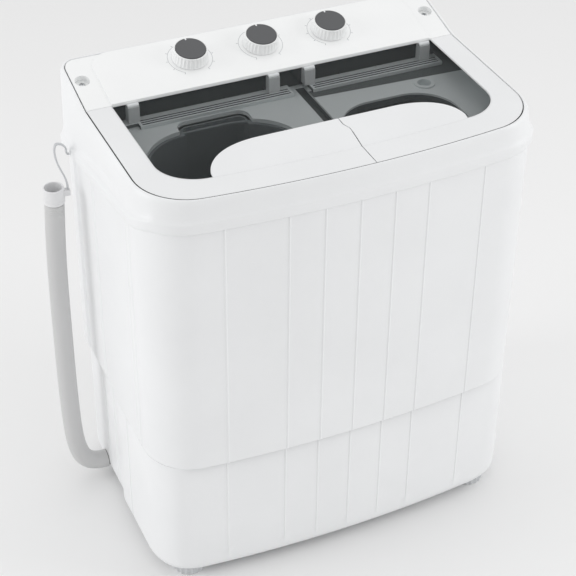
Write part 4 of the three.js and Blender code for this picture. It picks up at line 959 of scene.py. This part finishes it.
def make_pane(name, body, x0, x1, hinges):
    rear = PANE_HIGH.y
    outline = [p for p in window_edge(4.8) if x0 < p[0] < x1]
    if x0 > 0:
        outline.insert(0, (x0, fold_at(x0) - 4.8))
    else:
        outline.append((x1, fold_at(x1) - 4.8))
    right_x, left_x = outline[-1][0], outline[0][0]
    outline += [(right_x, rear), (left_x, rear)]
    low, high = PANE_LOW.z, PANE_HIGH.z
    pane = prism(outline, low, high)
    notches = [block(x - 9, x + 9, HINGE.y - 6, 120, low - 5, high + 5) for x in hinges]
    pins = [bar_x(x - 10, x + 10, HINGE.y, HINGE.z, 1.4) for x in hinges]
    fuse(carve(pane, *notches), *pins)
    pane.name = f"{name}_lid_window"
    finish_piece(pane, SMOKED, body, "smoked_pane", f"{name}_lid_pane", angle=30, bevel=0.4)


# ---------- deck and tubs ----------
def wash_opening(grow, z0, z1):
    main = rounded_rect(WASH_X, WASH_Y, WASH_W + 2 * grow, WASH_D + 2 * grow, WASH_R + grow, 24)
    bay_y, bay_d = (WASH_Y + BAY_BACK) / 2, BAY_BACK - WASH_Y
    bay = rounded_rect(BAY_X, bay_y, BAY_W + 2 * grow, bay_d + 2 * grow, BAY_R + grow, 12)
    return fuse(prism(main, z0, z1), prism(bay, z0, z1))


def spin_opening(grow, z0, z1):
    plan = rounded_rect(SPIN_X, SPIN_Y, SPIN_W + 2 * grow, SPIN_D + 2 * grow, SPIN_R + grow, 24)
    return prism(plan, z0, z1)


def deck_plan(inset):
    path = body_path(280.6 - inset, -185.4 + inset, 150, CORNER_R - 0.6 - inset, 20, pleats=())
    return [(x, y) for x, y, *_ in path]


def make_deck():
    bar_front, bar_back = 62, 88
    gutter_front, gutter_back, gutter_floor = 90, 111, 626
    deck = prism(deck_plan(0), DECK_Z, LID_SKIRT_Z - GAP)
    carve(deck, prism(deck_plan(WALL), DECK_Z + 3, LID_SKIRT_Z + 3), block(-300, 300, 114, 300, 600, 720))
    bars = [
        block(-212, 18, bar_front, bar_back, DECK_Z, SLOT_BAR_Z),
        block(47, 255, bar_front, bar_back, DECK_Z, SLOT_BAR_Z),
        block(-236, -211, 72, bar_back, DECK_Z, SLOT_BAR_Z),
    ]
    fuse(deck, *bars)
    slots = []
    for i in range(3):
        y = bar_front + 3 + i * 5.4
        slots.append(block(-208, 14, y, y + 2.4, DECK_Z + 2, SLOT_BAR_Z + 1))
        slots.append(block(51, 251, y, y + 2.4, DECK_Z + 2, SLOT_BAR_Z + 1))
    carve(
        deck,
        wash_opening(0, 600, 700),
        spin_opening(0, 600, 700),
        block(-250, 262, gutter_front, gutter_back, DECK_Z - 1, DECK_Z + 10),
        block(27, 42, -150, 84, DECK_Z - 2, DECK_Z + 30),
        *slots,
    )
    gutter = carve(
        block(-253, 265, gutter_front - 2.6, gutter_back + 2, gutter_floor, DECK_Z + 1),
        block(-250, 262, gutter_front, gutter_back, gutter_floor + 2.6, DECK_Z + 2),
    )
    ribs = []
    for x in range(-190, 231, 60):
        ribs.append(block(x, x + 2, gutter_front - 1, gutter_back + 1, gutter_floor + 1, DECK_Z - 3))
    wash_lip = carve(wash_opening(WALL, DECK_Z - 3, DECK_Z + 3), wash_opening(0, DECK_Z - 20, DECK_Z + 20))
    spin_lip = carve(spin_opening(WALL, DECK_Z - 10, DECK_Z + 3), spin_opening(0, DECK_Z - 20, DECK_Z + 20))
    trough = carve(
        block(24.6, 44.4, -152.4, 86, 630, DECK_Z + 1),
        block(27, 42, -150, 83.6, 632.4, DECK_Z + 5),
    )
    boss = carve(post(204, 22, 15, DECK_Z - 7, DECK_Z + 5), spin_opening(0, DECK_Z - 20, DECK_Z + 20))
    rear_wall = block(-278, 278, gutter_back, 114, gutter_floor, 679)
    fuse(deck, gutter, *ribs, wash_lip, spin_lip, trough, boss, rear_wall)
    carve(deck, post(204, 22, 10, DECK_Z - 4, DECK_Z + 12))
    deck.name = "deck_moulding"
    finish_piece(deck, DECK_GREY, "cabinet", "deck_grey", "deck", angle=30, bevel=0.5)

    # Painted shade: the gutter, the trough, the slots in the bars and the walls of the spin mouth get a dark
    # grey, standing in for the shade down in them.
    def dark(c, n):
        gutter_side = c.y > 88.6
        trough_side = 26.5 < c.x < 42.5 and c.z < DECK_Z - 0.2 and c.y > -153
        in_slot = 64.5 < c.y < 78.5 and DECK_Z + 1 < c.z < SLOT_BAR_Z - 0.4
        spin_mouth = c.x > 44.6 and c.y < 12 and c.z < DECK_Z - 0.3
        return gutter_side or trough_side or in_slot or spin_mouth

    shade_faces(deck, DECK_PAINTED_SHADE, dark)


def make_wash_tub():
    b, top = TUB_BOTTOM, TUB_HIGH.z
    wall = WALL
    mouth_plan = rounded_rect(BAY_X, 36, BAY_W - 13, 2 * (BAY_BACK - 42.6), 10, 10)

    def ring(grow, taper, z):
        k = grow - taper
        return ring_at(rounded_rect(WASH_X, WASH_Y, WASH_W + 2 * k, WASH_D + 2 * k, WASH_R + k, 20), z)

    def hollow():
        rings = [ring(-wall, 10, b + 20), ring(-wall, 4, b + 42), ring(-wall, 1.6, top + 1)]
        return make_object("tool", *loft(rings))

    rings = [
        ring(0, 36, b), ring(0, 26, b + 1.2), ring(0, 19, b + 4), ring(0, 13.6, b + 9), ring(0, 10, b + 16),
        ring(0, 6, b + 27), ring(0, 4, b + 40), ring(0, 1.6, top - 3),
        ring(6, 0, top - 3), ring(6.2, 0, top - 1.5), ring(6, 0, top), ring(-wall, 1.6, top),
        ring(-wall, 4, b + 42), ring(-wall, 6.4, b + 30), ring(-wall, 10, b + 20), ring(-wall, 14, b + 12.5),
        ring(-wall, 20, b + 8), ring(-wall, 27, b + 4.6), ring(-wall, 36, b + 3),
    ]
    tub = make_object("wash_tub_shell", *loft(rings, closed=False))
    bay = prism(rounded_rect(BAY_X, 40, BAY_W - 8, 2 * (BAY_BACK - 44), 12, 10), 420, top)
    carve(bay, hollow(), prism(mouth_plan, 424, top + 1))
    fuse(tub, bay)
    mouth = prism(mouth_plan, 424, top + 1)
    fuse(mouth, place(hollow(), Matrix.Translation((0, 6, 0))), how="INTERSECT")
    carve(tub, mouth, post(WASH_X, WASH_Y, 11.4, b - 10, b + 12), post(-192, -2, 12, b - 20, b + 30))
    finish_piece(tub, TUB_GREY, "cabinet", "tub_grey", "wash_tub", angle=34)


def make_pulsator():
    """Agitator disc with six swept fins, as one closed polar surface."""
    z0 = 157
    outer = 88
    around, across = 180, 26
    rings = []

    def height(r, a):
        dish = 6.5 * smoothstep(58, outer - 6, r)
        hub = 13 * (1 - smoothstep(8, 30, r))
        phase = (a * 6 / (2 * math.pi) - 0.004 * r) % 1.0
        fin = math.exp(-(((phase - 0.5) / 0.11) ** 2))
        span = smoothstep(16, 30, r) * (1 - smoothstep(60, 74, r))
        return 3 + dish + hub + 8.5 * fin * span

    def disc_ring(r, lift):
        plan = circle(WASH_X, WASH_Y, r, around)
        return [(x, y, z0 + lift(a)) for (x, y), a in zip(plan, full_turn(around))]

    rings.append(disc_ring(82, lambda a: 0))
    for j in range(across + 1):
        r = lerp(82, 2, j / across)
        share = 1 if j else 0.92
        rings.append(disc_ring(r, lambda a: height(r, a) * share))
    piece = make_object("agitator_disc", *loft(rings))
    finish_piece(piece, BASKET_GREY, "agitator", "light_grey", "pulsator", angle=40)


def make_spin_side():
    b, r, top = BASKET_LOW.z, (BASKET_HIGH.x - BASKET_LOW.x) / 2, BASKET_HIGH.z
    r = round(r + 0.5)
    profile = [
        (7.3, b), (r - 14, b), (r - 8, b + 1.4), (r - 4, b + 5), (r - 2.4, b + 11), (r - 2, b + 18),
        (r - 2, top - 26), (r - 0.4, top - 24.4), (r - 0.2, top - 1.5), (r - 1.2, top - 0.3),
        (r - 3, top), (r - 13, top), (r - 14.6, top - 0.6), (r - 15, top - 2.2), (r - 15, top - 16),
        (r - 12, top - 20), (r - 4.6, top - 30), (r - 4.6, b + 19), (r - 5.4, b + 12),
        (r - 7.4, b + 8), (r - 11, b + 4.6), (r - 15, b + 2.8), (22, b + 2.8), (20, b + 10),
        (18, b + 20), (7.3, b + 20), (7.3, b),
    ]
    basket = turned(profile, SPIN_X, SPIN_Y, 120)
    tools = []
    for i in range(6):
        for k in range(2):
            slot = block(r - 9, r + 3, -2.5, 2.5, b + 50 + k * 110, b + 110 + k * 110)
            turn = Matrix.Rotation(i * math.pi / 3 + k * 0.52, 4, "Z")
            tools.append(place(slot, Matrix.Translation((SPIN_X, SPIN_Y, 0)) @ turn))
    carve(basket, *tools)
    holes = []
    for i in range(12):
        for k in range(9):
            hole = bar_x(r - 9, r + 3, 0, b + 40 + k * 26, 1.9, 12)
            turn = Matrix.Rotation(math.radians(15 + 30 * i), 4, "Z")
            holes.append(place(hole, Matrix.Translation((SPIN_X, SPIN_Y, 0)) @ turn))
    carve(basket, *holes)
    basket.name = "basket_drum"
    finish_piece(basket, BASKET_GREY, "basket", "light_grey", "spin_basket", angle=34)

    b, r, top = OUTER_LOW.z, round((OUTER_HIGH.x - OUTER_LOW.x) / 2) - 3, OUTER_HIGH.z
    profile = [
        (16, b), (r - 16, b), (r - 9, b + 2), (r - 5, b + 6), (r - 1.4, b + 13), (r, b + 22),
        (r, top - 5), (r + 3, top - 3), (r + 3, top), (r - 2.6, top), (r - 2.6, b + 23),
        (r - 4, b + 14), (r - 7, b + 9), (r - 11, b + 5), (r - 17, b + 2.8), (16, b + 2.8), (16, b),
    ]
    outer = turned(profile, SPIN_X, SPIN_Y, 120)
    outer.name = "spin_outer_shell"
    # Painted shade: the outer tub gets the black moulding, standing in for the shade in the deep spin well;
    # its own finish is the grey of its slot.
    finish_piece(outer, BLACK_AND_PAINTED_SHADE, "cabinet", "tub_grey", "spin_outer_tub", angle=34)


# ---------- small pieces ----------
def make_foot(where):
    low, high = mm_box(f"foot_{where}")
    x, y = (low.x + high.x) / 2, (low.y + high.y) / 2
    ribs, per = 18, 8

    def fluted(r, depth, z):
        ring = []
        for i in range(ribs * per):
            a = 2 * math.pi * i / (ribs * per)
            dip = (0.5 - 0.5 * math.cos(ribs * a)) ** 0.7
            ring.append((x + (r - depth * dip) * math.cos(a), y + (r - depth * dip) * math.sin(a), z))
        return ring

    top = FOOT_H - 0.1
    rows = [
        (21.5, 0, 0), (22.6, 0.6, 0.25), (23.6, 1.4, 1), (24.4, 2, 2.4),
        (24.5, 2.2, top - 1.5), (24.2, 2.2, top - 0.4),
        (23.6, 2, top), (8.6, 0, top), (8, 0, top + 0.4), (8, 0, high.z - 0.8), (7.2, 0, high.z),
    ]
    foot = make_object(f"{where}_foot_pad", *loft([fluted(*row) for row in rows]))
    finish_piece(foot, LIGHT_GREY, "cabinet", "light_grey", f"foot_{where}", angle=40)


def make_screw(name, node, matrix, r, height, shank_r, shank):
    """Pan head screw with a cross recess, its head standing up along +Z."""
    rows = [
        (shank_r, -shank), (shank_r, 0), (r, 0), (r, height * 0.3), (r * 0.93, height * 0.62),
        (r * 0.75, height * 0.85), (r * 0.45, height * 0.97), (0.4, height),
    ]
    screw = make_object(name, *loft([ring_at(circle(0, 0, a, 36), h) for a, h in rows]))
    arm, width = r * 0.62, r * 0.11
    cross = fuse(
        block(-arm, arm, -width, width, height * 0.42, height + 1),
        block(-width, width, -arm, arm, height * 0.42, height + 1),
    )
    carve(screw, cross)
    place(screw, matrix)
    finish_piece(screw, STEEL, "cabinet", "steel", node, angle=34)


def make_screws():
    for side, where in ((-1, "left"), (1, "right")):
        at = Vector((side * SCREW_AT[0], SCREW_AT[1], panel_z(SCREW_AT[1])))
        matrix = Matrix.Translation(at) @ Matrix.Rotation(TILT, 4, "X") @ Matrix.Translation((0, 0, -9 + GAP))
        make_screw(f"panel_screw_{where}_head", f"panel_screw_{where}", matrix, 4.4, 2.2, 2, 6)
    for i in range(1, 5):
        low, high = mm_box(f"back_screw_{i}")
        at = Vector(((low.x + high.x) / 2, low.y + 2.3, (low.z + high.z) / 2))
        matrix = Matrix.Translation(at) @ Matrix.Rotation(math.radians(-90), 4, "X")
        make_screw(f"back_screw_{i}_head", f"back_screw_{i}", matrix, 4, 2, 1.9, 1.9)


# ---------- drain hose ----------
HOSE_R = 14.2
HOSE_Y = 103
COLLAR_R = 15
HOSE_ROUTE = [
    (-284.6, 31),
    (-289, 31),
    (-299, 32.2),
    (-312, 38),
    (-322.5, 50),
    (-329, 69.4),
    (-333, 95.6),
    (-335, 130),
    (-336.2, 180),
    (-336.6, 240),
    (-336.5, 300),
    (-336.2, 360),
    (-335.4, 420),
    (-333.4, 480),
    (-330.8, 530),
]


def smooth_route(points, per):
    """Centripetal Catmull-Rom through the points, per samples to a span."""
    points = [Vector(p) for p in points]
    ghosts = [points[0] * 2 - points[1], *points, points[-1] * 2 - points[-2]]
    out = []
    for i in range(1, len(ghosts) - 2):
        p0, p1, p2, p3 = ghosts[i - 1 : i + 3]
        t0 = 0
        t1 = t0 + (p1 - p0).length ** 0.5
        t2 = t1 + (p2 - p1).length ** 0.5
        t3 = t2 + (p3 - p2).length ** 0.5
        for k in range(per):
            t = lerp(t1, t2, k / per)
            a1 = p0 * ((t1 - t) / (t1 - t0)) + p1 * ((t - t0) / (t1 - t0))
            a2 = p1 * ((t2 - t) / (t2 - t1)) + p2 * ((t - t1) / (t2 - t1))
            a3 = p2 * ((t3 - t) / (t3 - t2)) + p3 * ((t - t2) / (t3 - t2))
            b1 = a1 * ((t2 - t) / (t2 - t0)) + a2 * ((t - t0) / (t2 - t0))
            b2 = a2 * ((t3 - t) / (t3 - t1)) + a3 * ((t - t1) / (t3 - t1))
            out.append(b1 * ((t2 - t) / (t2 - t1)) + b2 * ((t - t1) / (t2 - t1)))
    out.append(points[-1])
    return out


def even_steps(line, step):
    """The same line with points a fixed step apart."""
    lengths = [0.0]
    for a, b in zip(line, line[1:]):
        lengths.append(lengths[-1] + (b - a).length)
    total = lengths[-1]
    count = max(2, round(total / step))
    out, i = [], 0
    for k in range(count + 1):
        s = total * k / count
        while i < len(lengths) - 2 and lengths[i + 1] < s:
            i += 1
        span = lengths[i + 1] - lengths[i]
        out.append(line[i].lerp(line[i + 1], (s - lengths[i]) / span if span else 0))
    return out, total


def sweep(line, section, turn=Vector((0, 1, 0))):
    """Rings of section(i) = [(across, along turn)] set square to the line."""
    rings = []
    for i, p in enumerate(line):
        ahead = line[min(i + 1, len(line) - 1)] - line[max(i - 1, 0)]
        tangent = ahead.normalized()
        side = turn.cross(tangent).normalized()
        over = tangent.cross(side)
        rings.append([p + side * u + over * v for u, v in section(i)])
    return rings


def make_hose():
    raw = smooth_route([(x, HOSE_Y, z) for x, z in HOSE_ROUTE], 24)
    line, total = even_steps(raw, 0.8)
    around = 48

    def section(i):
        s = total * i / (len(line) - 1)
        near_top = smoothstep(total - 17, total - 14, s)
        bend = smoothstep(18, 34, s) * (1 - smoothstep(70, 92, s))
        depth = 0.04 + 0.6 * near_top + 0.12 * bend
        wave = 0.5 - 0.5 * math.cos(2 * math.pi * s / 3.6)
        return circle(0, 0, HOSE_R - depth * wave, around)

    hose = make_object("drain_hose_tube", *loft(sweep(line, section)))
    finish_piece(hose, HOSE_GREY, "cabinet", "hose_plastic", "drain_hose", angle=60)

    low, high = mm_box("hose_collar")
    x = low.x + COLLAR_R
    z = low.z
    bore, r = 12.6, COLLAR_R
    profile = [
        (bore, z), (r - 1, z), (r - 0.3, z + 0.5), (r, z + 1.5), (r, z + 5), (r - 0.3, z + 5.5),
        (r - 0.3, z + 6.5), (r, z + 7), (r, z + 22.4), (r - 0.2, z + 24), (r - 0.6, z + 24.8),
        (r - 1, z + 25), (bore + 0.5, z + 25), (bore + 0.1, z + 24.6), (bore, z + 24), (bore, z),
    ]
    collar = turned(profile, x, HOSE_Y, 96)
    fuse(collar, block(x + 13.4, high.x, HOSE_Y - 4, HOSE_Y + 4, z + 8, z + 17))
    collar.name = "hose_collar_ring"
    finish_piece(collar, COLLAR_WHITE, "cabinet", "light_grey", "hose_collar", angle=34)

    strap_route = [
        (-310, HOSE_Y, 548.7), (-310, HOSE_Y + 0.4, 555), (-312, 106, 566), (-317, 112, 580),
        (-320, 115, 592),
        (-320.6, 117, 606), (-317.6, 119, 613), (-309, 122, 610), (-302, 126, 600), (-300.4, 130, 590),
        (-298.6, 131.4, 586.6), (-295.9, 131.6, 586.2),
    ]
    strap_line, _ = even_steps(smooth_route(strap_route, 10), 1.2)
    edge = [(1.2, -1.7), (1.2, 1.7), (0.9, 2.25), (0.3, 2.4), (-0.3, 2.4), (-0.9, 2.25)]
    corner = edge + [(-u, -v) for u, v in edge]
    strap = make_object("hose_strap_band", *loft(sweep(strap_line, lambda i: corner)))
    finish_piece(strap, LIGHT_GREY, "cabinet", "light_grey", "hose_strap", angle=34)

    path = [p * MM for p in even_steps(raw, 4)[0]]


# ---------- carried-over CAD nodes ----------
CARRIED = {
    "base_pan": (LIGHT_GREY, 0.5),
    "back_cover": (WHITE, 0.5),
    "wash_timer_switch": (CAP_GREY, 0.5),
    "wash_selector_switch": (CAP_GREY, 0.5),
    "spin_timer_switch": (CAP_GREY, 0.5),
    "wash_hinge_clip_left": (BASKET_GREY, 0.5),
    "wash_hinge_clip_right": (BASKET_GREY, 0.5),
    "spin_hinge_clip_left": (BASKET_GREY, 0.5),
    "spin_hinge_clip_right": (BASKET_GREY, 0.5),
    "overflow_filter": (BASKET_GREY, 0.5),
    "wash_shaft": (STEEL, 0.3),
    "wash_hub": (ALLOY, 0.4),
    "wash_pulley": (ALLOY, 0.4),
    "drive_belt": (RUBBER, 0.2),
    "motor_pulley": (ALLOY, 0.3),
    "wash_motor": (MOTOR_STEEL, 0.6),
    "spin_boot": (RUBBER, 0.4),
    "spin_shaft": (STEEL, 0.3),
    "brake_drum": (ALLOY, 0.4),
    "brake_arm": (MOTOR_STEEL, 0.4),
    "spin_motor": (MOTOR_STEEL, 0.6),
    "drain_valve_body": (BASKET_GREY, 0.4),
    "drain_plunger": (RUBBER, 0.3),
    "drain_pipe": (BLACK_AND_PAINTED_SHADE, 0.3),
    "cable_gland": (BLACK_AND_PAINTED_SHADE, 0.4),
}


def dress_cad():
    """CAD nodes whose shape is right keep it and get a finish and rounded edges."""
    for name, (material, width) in CARRIED.items():
        obj = NODES[name]
        obj.data.materials.clear()
        obj.data.materials.append(material)
        bevelled(obj, width, angle=35)


# ---------- floor and light ----------
WORLD_STRENGTH = 0.74
LEFT_POWER = 22
RIGHT_POWER = 20
TOP_POWER = 10


def area_light(name, at, target, size, power):
    data = bpy.data.lights.new(name, "AREA")
    data.shape = "RECTANGLE"
    data.size, data.size_y = size
    data.energy = power
    light = bpy.data.objects.new(name, data)
    bpy.context.scene.collection.objects.link(light)
    light.location = at
    light.rotation_euler = (Vector(target) - Vector(at)).to_track_quat("-Z", "Y").to_euler()


def make_studio():
    mesh = bpy.data.meshes.new("floor")
    mesh.from_pydata([(-12, -12, 0), (12, -12, 0), (12, 12, 0), (-12, 12, 0)], [], [(0, 1, 2, 3)])
    floor = bpy.data.objects.new("floor", mesh)
    bpy.context.scene.collection.objects.link(floor)
    m = Nodes("floor")
    m.bsdf.inputs["Base Color"].default_value = (0.9, 0.9, 0.9, 1)
    m.bsdf.inputs["Roughness"].default_value = 0.9
    mesh.materials.append(m.material)
    world = bpy.data.worlds.new("studio")
    bpy.context.scene.world = world
    world.use_nodes = True
    world.node_tree.nodes["Background"].inputs["Color"].default_value = (1, 1, 1, 1)
    world.node_tree.nodes["Background"].inputs["Strength"].default_value = WORLD_STRENGTH
    area_light("left", (-3.0, 0.5, 1.5), (0, 0, 0.4), (1.4, 1.8), LEFT_POWER)
    area_light("right", (2.7, -1.5, 1.6), (0, 0, 0.4), (1.4, 1.8), RIGHT_POWER)
    area_light("top", (0.4, 0.6, 3.2), (0, 0, 0.5), (2.6, 2.0), TOP_POWER)
    bpy.context.scene.view_settings.view_transform = "Standard"


make_hose()
make_housing()
make_base()
make_top_frame()
make_panel()
make_marks()
for knob_name, knob_at in KNOBS.items():
    make_knob(knob_name, knob_at.x)
make_lid_frame("wash", "wash_lid", False, SPLIT_LEFT)
make_lid_frame("spin", "spin_lid", True, -SPLIT_RIGHT)
make_pane("wash", "wash_lid", -300, SPLIT_LEFT, (-216, -7))
make_pane("spin", "spin_lid", SPLIT_RIGHT, 300, (48, 232))
make_deck()
make_wash_tub()
make_pulsator()
make_spin_side()
for corner_name in ("front_left", "front_right", "rear_left", "rear_right"):
    make_foot(corner_name)
make_screws()
dress_cad()
make_studio()
